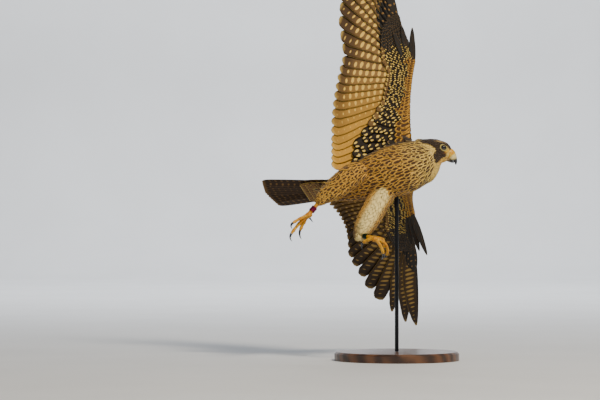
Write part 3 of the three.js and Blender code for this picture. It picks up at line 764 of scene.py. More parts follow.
# Barbs slant from the shaft towards the tip
slant = g.minus(g.times(along, 46.0), g.times(g.size_of(across), 9.0))
barbs = g.math("SINE", g.times(slant, 2 * math.pi))
fine = g.noise(g.vector(g.times(across, 3.0), slant, g.times(chance, 90.0)), 0.9, 3.0)
colour = g.blend(mask, take["Ground"], take["Mark"])
colour = g.blend(fringe, colour, take["Fringe"])
shade = g.plus(g.times(g.minus(fine, 0.5), 0.45), g.plus(0.92, g.times(chance, 0.16)))
colour = g.shaded(colour, shade)
shaft = g.ramp(g.size_of(across), 0.02, 0.06, 1.0, 0.0)
g.feed(give["Color"], colour)
g.feed(give["Height"], g.plus(g.times(barbs, 0.25), g.plus(fine, shaft)))
g.feed(give["Roughness"], g.plus(0.56, g.times(fine, 0.2)))
print("vane markings use", len(marks_tree.nodes), "nodes")

# %% [markdown]
# ## Feather materials
# A feather's own numbers travel with its mesh: ground and mark colours, the strength of streak, spots and
# fringe, and one chance number that keeps neighbours from being twins. Four finishes share the group.
# Loose body feathers have deeper barbs and a soft sheen, coverts and flight feathers are smoother, and
# the upper side of a flight feather has its own two colours.

# %% Make the feather materials


def feather_material(name, bump, sheen=0.0, roughness=0.6, upper=None):
    material, g, shader = new_material(name, roughness, Sheen_Weight=sheen, Sheen_Roughness=0.5,
                                       Specular_IOR_Level=0.25)
    lie = g.split(g.node("ShaderNodeUVMap", uv_map="Lie").outputs[0])
    plan, trim = (g.attribute(n) for n in ("plan", "trim"))
    numbers, edge = g.split(plan.outputs["Vector"]), g.split(trim.outputs["Vector"])
    vane = g.node("ShaderNodeGroup", node_tree=marks_tree)
    ground, mark = g.attribute("ground").outputs["Color"], g.attribute("mark").outputs["Color"]
    fringe = g.attribute("fringe").outputs["Color"]
    if upper is not None:
        ground, mark = upper
    fed = {
        "Ground": ground, "Mark": mark, "Fringe": fringe,
        "Across": g.minus(g.times(lie[0], 2.0), 1.0), "Along": lie[1],
        "Streak": numbers[0], "Spots": numbers[1], "Rows": g.times(numbers[2], 20.0),
        "Fringe width": edge[0], "Inner web": edge[1], "Chance": edge[2],
    }
    for key, value in fed.items():
        g.feed(vane.inputs[key], value)
    g.feed(shader.inputs["Base Color"], vane.outputs["Color"])
    g.feed(shader.inputs["Roughness"], vane.outputs["Roughness"])
    add_bump(g, shader, vane.outputs["Height"], bump, 0.0004)
    return material


contour_feather = feather_material("contour feather", 0.35, sheen=0.15)
covert_feather = feather_material("covert feather", 0.3)
flight_under = feather_material("flight feather from below", 0.25)
flight_upper = feather_material("flight feather from above", 0.25, upper=(SLATE, TAN))
print("feather finishes made")

# %% [markdown]
# ## Where each colour lies
# The markings are told as rules over the bird's own shape: back or belly, how far forward, how near the
# eye. The same rules colour the skin and choose what each feather wears, so that coat and skin always
# agree.

# %% Plumage rules
EYE = np.array([9.5, 13.4, 2.5])


def over(base, share, colour):
    """A colour laid over another by a share for each point."""
    share = np.asarray(share)[:, None]
    return base * (1 - share) + np.asarray(colour) * share


def spot(x, y, centre, size):
    """Soft oval mask round a centre."""
    return smooth(1.3, 0.7, np.hypot((x - centre[0]) / size[0], (y - centre[1]) / size[1]))


# The dark crown's lower edge: u, then v. The malar stripe's edges: depth under the eye, then u
CROWN_EDGE = (
    [-60, -40, -25.4, -15, -7, 1.2, 7.4, 13.5, 19.7, 27.9],
    [10, 9.5, 8.4, 5.8, 1.5, -3, 4, 5, 3, -6],
)
MALAR_DEPTH = [0, 4.1, 8.2, 12.3, 16.4, 20.5, 24.6, 28.7, 30.5]
MALAR_REAR = [-2, -1.8, -3.9, -7, -8, -7, -6, -3.5, 40]
MALAR_FRONT = [6, 9, 15.5, 19.5, 19.5, 13, 3.5, -0.6, -40]


class Plumage:
    """Colours and markings at places of the skin; part names the loft that each place belongs to."""

    def __init__(self, points, part):
        n = len(points)
        b, h = body.inside(points), head.inside(points)
        self.ground = np.tile(BUFF, (n, 1))
        self.mark = np.tile(STREAK, (n, 1))
        self.fringe = np.tile(PALE_BUFF, (n, 1))
        self.streak = np.full(n, 0.42)
        self.spots = np.zeros(n)
        self.rows = np.full(n, 2.0)
        self.edge = np.full(n, 0.1)
        self.spacing = np.full(n, 5.8)
        self.breast(b)
        self.legs(points, part)
        self.neck_and_head(h, part)

    def blend(self, share, **values):
        for key, value in values.items():
            old = getattr(self, key)
            if old.ndim == 2:
                setattr(self, key, over(old, share, value))
            else:
                setattr(self, key, old * (1 - share) + value * share)

    def breast(self, b):
        x, y, z = b.T
        self.blend(smooth(20, 90, x), ground=PALE_BUFF, streak=0.44, spacing=4.6)
        self.blend(smooth(-10, -80, x), streak=0.4, ground=mix(BUFF, RUFOUS, 0.3))
        self.blend(smooth(26, 46, np.abs(y)) * smooth(70, 30, x), streak=0.42, spots=0.1, spacing=5.8)
        self.blend(smooth(-96, -118, x), ground=PALE_BUFF, streak=0.3, spots=0.0)
        back = smooth(2, 20, z)
        self.blend(back, ground=BACK, mark=DARK, fringe=FRINGE, streak=0.2, spots=0.0, edge=0.16, spacing=8.0)

    def legs(self, points, part):
        for side, leg in LEGS.items():
            on = part == "thigh_" + side
            hip, knee, ankle, _, _ = leg_points(leg)
            share = np.clip((points - knee) @ unit(ankle - knee) / np.linalg.norm(ankle - knee), 0, 1.3)
            if side == "right":
                self.blend(on * 0.9, ground=BUFF * 1.1, streak=0.36, spots=0.3, rows=1.6, spacing=4.8,
                           edge=0.1, fringe=PALE_BUFF, mark=STREAK)
            else:
                middle = points - (hip + np.outer(share, ankle - hip))
                aside = middle @ unit(np.cross(ankle - knee, [0, 1.0, 0]))
                self.blend(on, ground=CREAM, streak=0.0, spots=0.0, spacing=3.9, mark=STREAK,
                           fringe=CREAM, edge=0.06)
                self.blend(on * smooth(8, 18, aside), ground=BUFF, streak=0.4, edge=0.1, fringe=PALE_BUFF)
                self.blend(on * smooth(-10, -20, aside), ground=BUFF * 1.05, streak=0.12)
                corner = smooth(0.72, 1.0, share) * smooth(-1, -9, aside)
                self.blend(on * corner, ground=TAN * 0.7, mark=UMBER)
            self.blend(on * smooth(0.8, 1.1, share), spacing=3.2)

    def neck_and_head(self, h, part):
        x, y, z = h.T
        nape = smooth(0, 14, z) * smooth(-150, -100, x)
        is_head = (part == "head") | (part == "neck")
        self.blend(is_head * smooth(-110, -40, x), spacing=4.2, streak=0.4, ground=PALE_BUFF)
        self.blend(is_head * smooth(-60, -20, x), spacing=2.8)
        self.blend(is_head * nape, ground=BACK, mark=DARK, fringe=FRINGE, streak=0.25, edge=0.16)
        face = is_head * smooth(-48, -30, x)
        self.blend(face, ground=PALE_BUFF * 1.05, streak=0.14, spots=0.0, edge=0.0, spacing=2.3, mark=STREAK)
        # The face is told in level directions, u forward and v up, and is the same on both sides
        seen = np.column_stack([x, -np.abs(y), z]) @ head.axes
        u, v = seen[:, 0], seen[:, 2]
        crown = face * smooth(-1.2, 1.2, v - np.interp(u, *CROWN_EDGE))
        behind = u - np.interp(-v, MALAR_DEPTH, MALAR_REAR)
        ahead = u - np.interp(-v, MALAR_DEPTH, MALAR_FRONT)
        malar = face * smooth(-1.4, 1.4, behind) * smooth(1.4, -1.4, ahead)
        dark = {"ground": UMBER, "mark": DARK, "streak": 0.35, "fringe": TAN, "edge": 0.08}
        self.blend(face * spot(u, v, (-19, -14), (12, 12)), ground=CREAM, streak=0.2)
        self.blend(face * spot(u, v, (-9, -4), (6, 9.5)) * 0.8, ground=PALE_BUFF * 1.05, streak=0.05)
        self.blend(face * spot(u, v, (11.5, -27), (10, 5)) * 0.7, ground=BUFF * 1.15, streak=0.0)
        self.blend(crown, **dark)
        self.blend(malar, **dark)
        line = np.interp(u, [-2, 8, 17, 21], [13.0, 11.8, 9.2, 7.6])
        brow = smooth(1.6, 0.7, np.abs(v - line)) * spot(u, v, (8, 11), (10, 8))
        self.blend(face * brow, ground=BROW_TAN, mark=UMBER, streak=0.08, edge=0.0)
        self.blend(face * smooth(15, 22, x), spacing=1.7)
        self.blend(face * spot(u, v, (20.5, -6), (4.5, 3.8)), ground=YOLK, streak=0.0)
        self.blend(face * spot(u, v, (17.5, -10.2), (6, 1.7)) * 0.7, ground=AMBER * 0.7, streak=0.0)
        self.blend(face * spot(u, v, (21.5, -20), (5, 2.2)) * 0.7, ground=AMBER * 0.8, streak=0.0)


print("the malar stripe reaches", MALAR_DEPTH[-1], "mm below the eye")

# %% Which loft each spot of the skin came from
part_tree = KDTree(sum(len(p) for p, _ in flesh.values()))
part_names = []
for part_name, (part_points, _) in flesh.items():
    for p in part_points:
        part_tree.insert(p, len(part_names))
        part_names.append(part_name)
part_tree.balance()
part_names = np.array(part_names)


def part_at(points):
    return part_names[[part_tree.find(p)[1] for p in points]]


skin_co = points_of(skin_mesh)
skin_part = part_at(skin_co)
worn = Plumage(skin_co, skin_part)
skin_tone = over(worn.ground, 0.8 * worn.streak, worn.mark)
give_colour(skin_mesh, "tone", skin_tone)
print({n: int((skin_part == n).sum()) for n in flesh})

# %% [markdown]
# ## The skin's finish
# Little skin shows between feathers, and what shows reads as down in shadow. The skin therefore takes the
# colours of the coat, broken by a soft noise, and stays rough.

# %% Skin material
down, g, shader = new_material("down", 0.9, Specular_IOR_Level=0.15)
tone = g.attribute("tone").outputs["Color"]
speck = g.noise(g.place(), 420.0, 4.0, 0.6)
shade = g.ramp(speck, 0.2, 0.8, 0.55, 1.05)
g.feed(shader.inputs["Base Color"], g.shaded(tone, shade))
add_bump(g, shader, speck, 0.5, 0.0006)
skin_mesh.materials.append(down)
print(down.name, "has", len(down.node_tree.nodes), "nodes")

# %% [markdown]
# ## The lie of the coat
# Feathers point from the bill to the tail and down the legs, and turn smoothly from one way to the next.
# Each point of the skin first takes the direction of its own part, and then the directions are averaged
# with their neighbours many times, as combing would do.

# %% Comb the skin
skin_normals = np.zeros(len(skin_co) * 3, np.float32)
skin_mesh.vertices.foreach_get("normal", skin_normals)
skin_normals = skin_normals.reshape(-1, 3).astype(float)
skin_edges = np.zeros(len(skin_mesh.edges) * 2, np.int32)
skin_mesh.edges.foreach_get("vertices", skin_edges)
skin_edges = skin_edges.reshape(-1, 2)


def flatten(lie, normals):
    return unit(lie - normals * (lie * normals).sum(1, keepdims=True))


def smoothed(values, rounds):
    for _ in range(rounds):
        total = values.copy()
        np.add.at(total, skin_edges[:, 0], values[skin_edges[:, 1]])
        np.add.at(total, skin_edges[:, 1], values[skin_edges[:, 0]])
        count = 1 + np.bincount(skin_edges.ravel(), minlength=len(values))
        values = total / count[:, None]
    return values


PART_LIE = {
    "torso": -body.axes[0], "neck": -neck_axis, "rump": -tail.axes[0],
    "head": -head.axes[0] - 0.25 * head.axes[2],
    **{"thigh_" + s: unit(leg_points(leg)[2] - leg_points(leg)[0]) for s, leg in LEGS.items()},
    **{"arm_" + w.name: -w.forward + 0.25 * w.outward for w in WINGS},
}
skin_lie = flatten(np.array([PART_LIE[n] for n in skin_part]), skin_normals)
skin_lie = flatten(smoothed(skin_lie, 24), skin_normals)
print("combed", len(skin_lie), "points")

# %% [markdown]
# ## Where feathers are rooted
# Real feathers grow in even rows, never in clumps. Random spots that keep a distance from each other look
# the same: many candidates are thrown on the skin, and each is kept only if no kept one is too near. The
# distance comes from the plumage rules, small on the face and wide on the back.

# %% Sow the feathers
rng = np.random.default_rng(SEED)
skin_mesh.calc_loop_triangles()
tri = np.zeros(len(skin_mesh.loop_triangles) * 3, np.int32)
skin_mesh.loop_triangles.foreach_get("vertices", tri)
tri = tri.reshape(-1, 3)
tri_loops = np.zeros(len(tri) * 3, np.int32)
skin_mesh.loop_triangles.foreach_get("loops", tri_loops)
tri_loops = tri_loops.reshape(-1, 3)
skin_uv = np.zeros(len(skin_mesh.loops) * 2, np.float32)
skin_mesh.uv_layers["OFBake"].data.foreach_get("uv", skin_uv)
skin_uv = skin_uv.reshape(-1, 2)


def candidates(count):
    """Random spots of the skin, closer together where feathers are smaller."""
    a, b, c = (skin_co[tri[:, k]] for k in range(3))
    area = np.linalg.norm(np.cross(b - a, c - a), axis=1)
    weight = area / worn.spacing[tri].mean(1) ** 2
    picked = rng.choice(len(tri), count, p=weight / weight.sum())
    share = rng.dirichlet([1, 1, 1], count)

    def at(values):
        return np.einsum("nk,nkd->nd", share, values[tri[picked]])

    uv = np.einsum("nk,nkd->nd", share, skin_uv[tri_loops[picked]])
    nearest = tri[picked, share.argmax(1)]
    places, normals, lies = at(skin_co), unit(at(skin_normals)), unit(at(skin_lie))
    return places, normals, lies, uv, worn.spacing[nearest], skin_part[nearest]


LENGTHWISE = 2.1


def keep_apart(points, lie, gap):
    """Indices of points that keep their gap from those kept before them, and more than that along the lie."""
    cell = gap.max() * LENGTHWISE
    ease = 1 - 1 / LENGTHWISE**2
    boxes, kept = {}, []
    keys = np.floor(points / cell).astype(int)
    around = [(i, j, k) for i in (-1, 0, 1) for j in (-1, 0, 1) for k in (-1, 0, 1)]
    for n, (x, y, z) in enumerate(keys.tolist()):
        p = points[n]
        near = [m for i, j, k in around for m in boxes.get((x + i, y + j, z + k), ())]
        if near:
            away = points[near] - p
            apart = (away**2).sum(1) - ease * (away @ lie[n]) ** 2
            if (apart < np.minimum(gap[near], gap[n]) ** 2).any():
                continue
        kept.append(n)
        boxes.setdefault((x, y, z), []).append(n)
    return np.array(kept)


print("skin to sow on:", len(tri), "triangles")

# %% Throw and keep
THROWN = 60000
OVERLAP = 0.8
BARE_ROUND_EYE = 7.9
CERE_EDGE = 26.4
eyes = [head.at(EYE * [1, s, 1]) for s in (-1, 1)]
spots_at, spots_normal, spots_lie, spots_uv, gap, part = candidates(THROWN)
in_head = head.inside(spots_at)
near_eye = np.min([np.linalg.norm(spots_at - e, axis=1) for e in eyes], axis=0)
bare = (near_eye < BARE_ROUND_EYE) | (in_head[:, 0] > CERE_EDGE)
on_arm = np.char.startswith(part, "arm")
order = np.flatnonzero(~bare & ~on_arm)
kept = order[keep_apart(spots_at[order], spots_lie[order], OVERLAP * gap[order])]
print("feathers rooted:", len(kept))

# %% [markdown]
# ## One small feather, many times
# A contour feather is a shallow leaf: domed across, thin at its rim, its tip just clear of the next one.
# It is drawn once as a grid of places across and along, and every copy is pressed onto the skin point by
# point, so that it follows the body's curve. Tips stand a little higher than roots, and so the rows
# shingle by themselves.

# %% Leaf template and pressing


def lens(rows, cols):
    """Faces of a vane closed at its rim: the outer grid first, then the inner points of its underside."""
    top = np.arange(rows * cols).reshape(rows, cols)
    under = top.copy()
    under[1:-1, 1:-1] = rows * cols + np.arange((rows - 2) * (cols - 2)).reshape(rows - 2, cols - 2)

    def quads(grid):
        return np.stack([grid[:-1, :-1], grid[:-1, 1:], grid[1:, 1:], grid[1:, :-1]], -1).reshape(-1, 4)

    return quads(top), quads(under)[:, ::-1]


def repeated(faces, count, size):
    return (faces[None] + (np.arange(count) * size)[:, None, None]).reshape(-1, faces.shape[1])


skin_tree = BVHTree.FromPolygons(skin_co.tolist(), tri.tolist())


def pressed(points, rise):
    """Points moved onto the skin and lifted off it by their rise."""
    flat = points.reshape(-1, 3)
    near = [skin_tree.find_nearest(p) for p in flat.tolist()]
    place = np.array([n[0] for n in near])
    normal = np.array([n[1] for n in near])
    return (place + normal * rise.reshape(-1, 1)).reshape(points.shape), normal.reshape(points.shape)


print("a small leaf has", len(lens(6, 5)[0]), "faces above")

# %% A coat of leaves
PATCH = 0.003
WORN = ("ground", "mark", "fringe", "plan", "trim")
LEAF_ALONG = np.array([0, 0.25, 0.5, 0.75, 0.92, 1.0])
LEAF_WIDTH = np.array([0.35, 0.85, 1.0, 0.9, 0.55, 0.12])


def dress(mesh, each, ground, mark, fringe, plan, trim):
    """Gives every point of a feather its feather's colours and numbers."""
    for key, value in zip(WORN, (ground, mark, fringe, plan, trim)):
        give_colour(mesh, key, np.repeat(value, each, axis=0))


def coat(name, chosen, slot, long=4.3, wide=0.98, lift=0.5):
    """A piece of coat: one pressed leaf at each chosen spot."""
    rows, cols = len(LEAF_ALONG), 5
    n = len(chosen)
    size = gap[chosen]
    jitter = rng.normal(0, 1, (n, 4))
    length = size * long * (1 + 0.1 * jitter[:, 0])
    half = size * wide * (1 + 0.08 * jitter[:, 1])
    normal = spots_normal[chosen]
    lie = spots_lie[chosen] + np.cross(normal, spots_lie[chosen]) * (0.12 * jitter[:, 2:3])
    lie = flatten(lie, normal)
    aside = np.cross(normal, lie)
    u = np.linspace(-1, 1, cols)
    along = (LEAF_ALONG - 0.3)[None, :, None] * length[:, None, None]
    across = LEAF_WIDTH[None, :, None] * u * half[:, None, None]
    flat = (spots_at[chosen][:, None, None] + lie[:, None, None] * along[..., None]
            + aside[:, None, None] * across[..., None])
    rise = 0.1 + lift * size[:, None, None] * LEAF_ALONG[None, :, None] ** 0.8
    rise = rise * (1 + 0.18 * jitter[:, 3])[:, None, None] + 0.16 * size[:, None, None] * (1 - u**2)
    top, out = pressed(flat, rise)
    under = top[:, 1:-1, 1:-1] - out[:, 1:-1, 1:-1] * 0.22
    points = np.concatenate([top.reshape(n, -1, 3), under.reshape(n, -1, 3)], 1)
    each = points.shape[1]
    faces_top, faces_under = lens(rows, cols)
    mesh = mesh_of(name, points.reshape(-1, 3), repeated(np.vstack([faces_top, faces_under]), n, each),
                   [contour_feather])
    lie_uv = np.stack(np.broadcast_arrays((u + 1)[None] / 2, LEAF_ALONG[:, None]), -1)
    lie_uv = np.concatenate([lie_uv.reshape(-1, 2), lie_uv[1:-1, 1:-1].reshape(-1, 2)])
    patch = (lie_uv - 0.5) * PATCH
    give_uv(mesh, "OFBake", (spots_uv[chosen][:, None] + patch[None]).reshape(-1, 2))
    give_uv(mesh, "Lie", np.tile(lie_uv, (n, 1)))
    wear = Plumage(spots_at[chosen], part[chosen])
    chance = rng.random(n)
    dress(mesh, each, wear.ground, wear.mark, wear.fringe,
          np.column_stack([wear.streak * rng.uniform(0.75, 1.25, n), wear.spots, wear.rows / 20]),
          np.column_stack([wear.edge, np.zeros(n), chance]))
    return show(mesh, slot)


print("the leaf of the coat is widest at", LEAF_ALONG[LEAF_WIDTH.argmax()], "of its length")

# %% [markdown]
# ## Head, trunk and thighs
# The coat is laid in three pieces, so that none grows too heavy and the head can have its own, finer
# leaves. Feathers of the face are the shortest and lie closest. Those of breast and thighs are long and
# overlap three or four deep.

# %% Lay the coat
kept_part = part[kept]
FACE_GAP = 3.1
head_spots = kept[(kept_part == "head") & (gap[kept] < FACE_GAP)]
body_spots = np.setdiff1d(kept, head_spots)
thigh_spots = body_spots[np.char.startswith(part[body_spots], "thigh")]
trunk_spots = np.setdiff1d(body_spots, thigh_spots)
coat("head_coat", head_spots, "head_feathers", long=3.9, wide=0.9, lift=0.34)
coat("trunk_coat", trunk_spots, "breast_feathers")
coat("thigh_coat", thigh_spots, "breast_feathers")

# %% [markdown]
# ## Feathers drawn on the wing
# A flight feather is a stiff shaft with a narrow vane in front and a broad one behind. It starts on the
# bone, bends a little along its length and ends in a rounded or pointed tip. Here each one is a grid of
# places along and across, laid on the wing's own surface, with a raised shaft on both faces. Cloth or
# hair could not keep such a crisp outline, and a flat card would have no edge in a side view.

# %% One vane on a surface
BLUNT = [(0, 0.3, 0.3), (0.14, 0.85, 0.85), (0.45, 1, 1), (0.82, 1, 1.05), (0.95, 0.8, 0.82), (1, 0.25, 0.25)]
POINTED = [(0, 0.3, 0.3), (0.14, 0.8, 0.8), (0.4, 1, 1), (0.7, 0.8, 0.8), (0.9, 0.55, 0.42), (1, 0.15, 0.1)]
LEAF = [(0, 0.45, 0.45), (0.3, 0.9, 0.9), (0.6, 1, 1), (0.85, 0.8, 0.78), (1, 0.2, 0.2)]
FINE_ACROSS = np.array([-1, -0.55, -0.12, 0, 0.09, 0.32, 0.6, 0.85, 1])
PLAIN_ACROSS = np.array([-1, -0.5, 0, 0.5, 1])


def vane(at, root, angle, bend, length, lead, trail, outline, tilt, height=0.0, lift=0.0, rows=24,
         across=FINE_ACROSS, ragged=0.0, shaft=0.55, dome=0.5):
    """Upper and lower grid of one feather; height may be a function of the place on the surface."""
    t, wide_lead, wide_trail = through(outline, rows).T
    t = np.clip(t, 0, 1)
    a = np.radians(angle - bend * t)
    step = np.diff(t, prepend=0) * length
    p = root[0] + np.cumsum(step * np.cos(a))
    q = root[1] + np.cumsum(step * np.sin(a))
    wide_trail = wide_trail * (1 + ragged * rng.normal(0, 1, rows))
    reach = np.where(across < 0, -across * lead * wide_lead[:, None], -across * trail * wide_trail[:, None])
    pp = p[:, None] - reach * np.sin(a)[:, None]
    qq = q[:, None] + reach * np.cos(a)[:, None]
    base = height(pp, qq, t[:, None]) if callable(height) else height + lift * t[:, None]
    h = base + reach * tilt + dome * (1 - across**2)
    quill = shaft * np.exp(-((across / 0.07) ** 2)) * (1.15 - t[:, None])
    top = at(pp, qq, h + 0.13 + quill)
    low = at(pp, qq, h - 0.13 - quill)
    uv = np.stack(np.broadcast_arrays((across[None] + 1) / 2, t[:, None]), -1)
    return top, low, uv


print("a flight feather is drawn with", len(FINE_ACROSS), "points across")

# %% Feathers of one piece


def lens_points(grid, inner):
    """The points of `lens`: a whole grid and the inner places of another."""
    k = grid.shape[-1]
    return np.concatenate([grid.reshape(-1, k), inner[1:-1, 1:-1].reshape(-1, k)])


class Feathers:
    """Collects vanes of one grid size and makes them one mesh."""

    def __init__(self, rows, cols, cells):
        self.shape = (rows, cols)
        self.cells = cells
        self.points, self.uv, self.map, self.wear = [], [], [], []

    def add(self, top, low, uv, **wear):
        n = len(self.points)
        cell = np.array([n % self.cells, n // self.cells]) / self.cells
        self.points.append(lens_points(top, low))
        self.uv.append(lens_points(uv, uv))
        self.map.append(cell + (0.06 + 0.88 * self.uv[-1]) / self.cells)
        count = len(self.uv[-1])
        self.wear.append({k: np.broadcast_to(v, (count, np.shape(v)[-1])) for k, v in wear.items()})

    def piece(self, name, slot, materials, *stands_for):
        n, each = len(self.points), len(self.points[0])
        top, low = lens(*self.shape)
        points = np.concatenate(self.points)
        faces = np.vstack([repeated(top, n, each), repeated(low, n, each)])
        mesh = mesh_of(name, points, faces, materials)
        if len(materials) > 1:
            face = np.repeat([0, 1], [n * len(top), n * len(low)])
            mesh.polygons.foreach_set("material_index", face.astype(np.int32))
        give_uv(mesh, "OFBake", np.concatenate(self.map))
        give_uv(mesh, "Lie", np.concatenate(self.uv))
        for key in WORN:
            give_colour(mesh, key, np.concatenate([w[key] for w in self.wear]))
        return show(mesh, slot, *stands_for)


print("a flight feather has", 2 * len(lens(24, len(FINE_ACROSS))[0]), "faces")

# %% [markdown]
# ## Primaries, secondaries, tertials
# Ten primaries hang on the hand, ten secondaries on the forearm and four tertials close the gap to the
# body. In a young peregrine the underside is brown with rows of buff ovals on the inner web, plainer and
# paler towards the body and dark at the tip. From above all are dark brown. The lowered wing hangs in the
# bird's own shade, which soft lamps don't give, so its feathers are painted darker.

# %% Flight feathers of both wings
PRIMARY_LENGTHS = [137, 143, 152, 158, 168, 186, 205, 229, 252, 256]
VANE_TILT = 0.105
BAR_STEP = 13.0


def flight_plan(w):
    """Root, angle, bend, length, widths and outline of each flight feather, from the tip to the body."""
    plans = []
    for i, length in reversed(list(enumerate(PRIMARY_LENGTHS))):
        root = mix(w.wrist, w.tip, mix(0.1, 0.97, i / 9))
        t = i / 9
        plans.append(dict(root=root, angle=w.primary_angles[i] + 2.5, bend=5, length=length,
                          lead=mix(8.5, 5.5, t), trail=mix(20, 22, t) * w.web,
                          outline=POINTED if i > 6 else BLUNT, kind="primary", rank=t))
    s = w.secondaries
    for i in range(10):
        t = i / 9
        plans.append(dict(root=mix(w.wrist, w.bones[1], mix(0.03, 0.94, t)), angle=mix(s["angle"], -96, t),
                          bend=4, length=mix(s["outer"], s["inner"], t) - s["dip"] * t * (1 - t),
                          lead=9, trail=17, outline=BLUNT, kind="secondary", rank=t))
    for i in range(4):
        t = i / 3
        plans.append(dict(root=mix(w.bones[1], w.bones[0], mix(0.12, 0.78, t)), angle=mix(-96, -89, t),
                          bend=2, length=mix(143, 150, t) * w.tertials,
                          lead=9, trail=17, outline=BLUNT, kind="tertial", rank=t))
    return plans


def flight_wear(kind, rank, uv):
    """Colours along one flight feather, seen from below."""
    along, aside = uv[:, 1], uv[:, 0] * 2 - 1
    if kind == "primary":
        base, spots = np.tile(mix(TAN * 0.66, TAN * 0.42, rank), (len(uv), 1)), 1.0
        base = over(base, smooth(0.05, -0.15, aside) * smooth(0.1, 0.6, rank), SLATE)
        dark_tip_and_painted_shade = smooth(0.6, 0.85, along)
    elif kind == "secondary":
        base = np.tile(mix(TAN * 0.68, BUFF * 0.8, rank), (len(uv), 1))
        spots = mix(1.0, 0.2, smooth(0.2, 0.9, rank))
        dark_tip_and_painted_shade = smooth(0.72, 0.92, along) * (1 - 0.8 * rank)
    else:
        base, spots = np.tile(BUFF * 0.85, (len(uv), 1)), 0.15
        dark_tip_and_painted_shade = np.zeros(len(uv))
    # The dark tip is the feather's own marking
    return over(base, dark_tip_and_painted_shade * 0.85, UMBER), spots * (1 - 0.7 * dark_tip_and_painted_shade)


for w in WINGS:
    quills = Feathers(24, len(FINE_ACROSS), 5)
    for f in flight_plan(w):
        kind, rank = f.pop("kind"), f.pop("rank")
        top, low, uv = vane(w.at, tilt=VANE_TILT, ragged=0.025, **f)
        lens_uv = lens_points(uv, uv)
        ground, spots = flight_wear(kind, rank, lens_uv)
        # Painted shade: a shaded wing's flight feathers, with their marks and fringes, are painted darker
        ground = over(ground, np.full(len(ground), w.dark_tip_and_painted_shade), DARK)
        bars = np.full(len(lens_uv), f["length"] / BAR_STEP / 20)
        plan = np.column_stack([np.zeros(len(lens_uv)), spots, bars])
        trim = [0.05, 1.0 if kind != "tertial" else 0.3, rng.random()]
        quills.add(top, low, uv, ground=ground, mark=mix(mix(PALE_BUFF, BUFF, 0.35), TAN * 0.5, w.dark_tip_and_painted_shade),
                   fringe=mix(PALE_BUFF, TAN, w.dark_tip_and_painted_shade), plan=plan, trim=trim)
    quills.piece("flight_feathers_" + w.name, "flight_feathers", [flight_upper, flight_under],
                 "wing_" + w.name)

# %% [markdown]
# ## Alula
# Three short stiff feathers stand off the thumb. In slow or turning flight they lift to keep the air on
# the wing, and on this bird they stick out in front of the wrist.

# %% Alulae
for w in WINGS:
    thumb = Feathers(16, len(FINE_ACROSS), 2)
    for i, (angle, length, lift) in enumerate(w.alula):
        root = w.wrist + [3 * i - 4, 11 - 4 * i]
        top, low, uv = vane(w.at, root, angle, 6, length, 5, 9, POINTED, VANE_TILT,
                            height=-2.2 - 1.1 * i, lift=lift, rows=16)
        thumb.add(top, low, uv, ground=SLATE * 0.8, mark=UMBER, fringe=TAN, plan=[0.1, 0.3, 0.2],
                  trim=[0.04, 1.0, rng.random()])
    thumb.piece("alula_" + w.name, "flight_feathers", [flight_upper, contour_feather])

# %% [markdown]
# ## Coverts
# Rows of coverts close the roots of the flight feathers above and below, larger from row to row like roof
# tiles. Beneath, a young bird has them dark with pale spots, buff along the wing's front edge and tan
# where they meet the secondaries. Above, they are dark with a pale fringe. The rows are drawn by their
# tips: a share of the depth that is covered behind the front edge, which is deep near the body and
# shallow on the hand.

# %% Height of the wing under its coverts
ARM_P = np.array([row[0] for row in ARM])
ARM_DEPTH, ARM_HALF = np.array([row[1:] for row in ARM]).T
FOIL_UPPER = ([0, 0.06, 0.22, 0.55, 1.0], [0, 0.55, 1, 0.8, 0.25])
FOIL_LOWER = ([0, 0.06, 0.22, 0.55, 1.0], [0, 0.42, 0.75, 0.6, 0.25])
COVER_P = [-20, 40, 80, 110, 160, 190, 225, 250, 268]
COVER_DEPTH = [138, 126, 84, 64, 62, 64, 52, 40, 22]


def wing_height(w, side):
    """How far the plumage under the coverts stands off the wing's middle surface, on one face of it."""
    foil = FOIL_UPPER if side > 0 else FOIL_LOWER

    def height(p, q, t, size=1.0):
        share = p / w.tip[0]
        half = np.interp(share, ARM_P, ARM_HALF)
        chord = w.edge(p) - w.bone(p) + np.interp(share, ARM_P, ARM_DEPTH)
        thick = np.interp((w.edge(p) - q) / chord, *foil) * half
        return side * (np.maximum(thick, 2.1) + 0.15 + 0.07 * size * t)

    return height

# %% Looks of the coverts
COVERT_LOOKS = {
    "above": (BACK, DARK, FRINGE, [0.18, 0.0, 0.1], 0.12),
    "dark": (DARK * 1.1, PALE_BUFF, TAN, [0.0, 0.5, 0.075], 0.02),
    "hand": (SLATE * 0.9, TAN * 0.7, SLATE, [0.0, 0.3, 0.075], 0.0),
    "front": (mix(BUFF, RUFOUS, 0.25), STREAK, PALE_BUFF, [0.45, 0.0, 0.1], 0.08),
    "greater": (TAN * 0.55, PALE_BUFF, TAN, [0.0, 0.75, 0.11], 0.03),
}


def covert_wear(side, p, share):
    """Look of one covert at p and a share of the covered depth; chance mixes the looks where zones meet."""
    draw = rng.random(3)
    look = "dark"
    if draw[0] < smooth(190, 232, p):
        look = "hand"
    elif draw[1] < smooth(0.46, 0.2, share) * smooth(190, 160, p):
        look = "front"
    elif draw[2] < smooth(0.86, 0.97, share) * smooth(60, 100, p):
        look = "greater"
    ground, mark, fringe, plan, edge = COVERT_LOOKS["above" if side > 0 else look]
    return dict(ground=ground * rng.uniform(0.85, 1.15), mark=mark, fringe=fringe, plan=plan,
                trim=[edge, 0.0, rng.random()])


print("zones of coverts:", len(COVERT_LOOKS))

# %% Rows of coverts


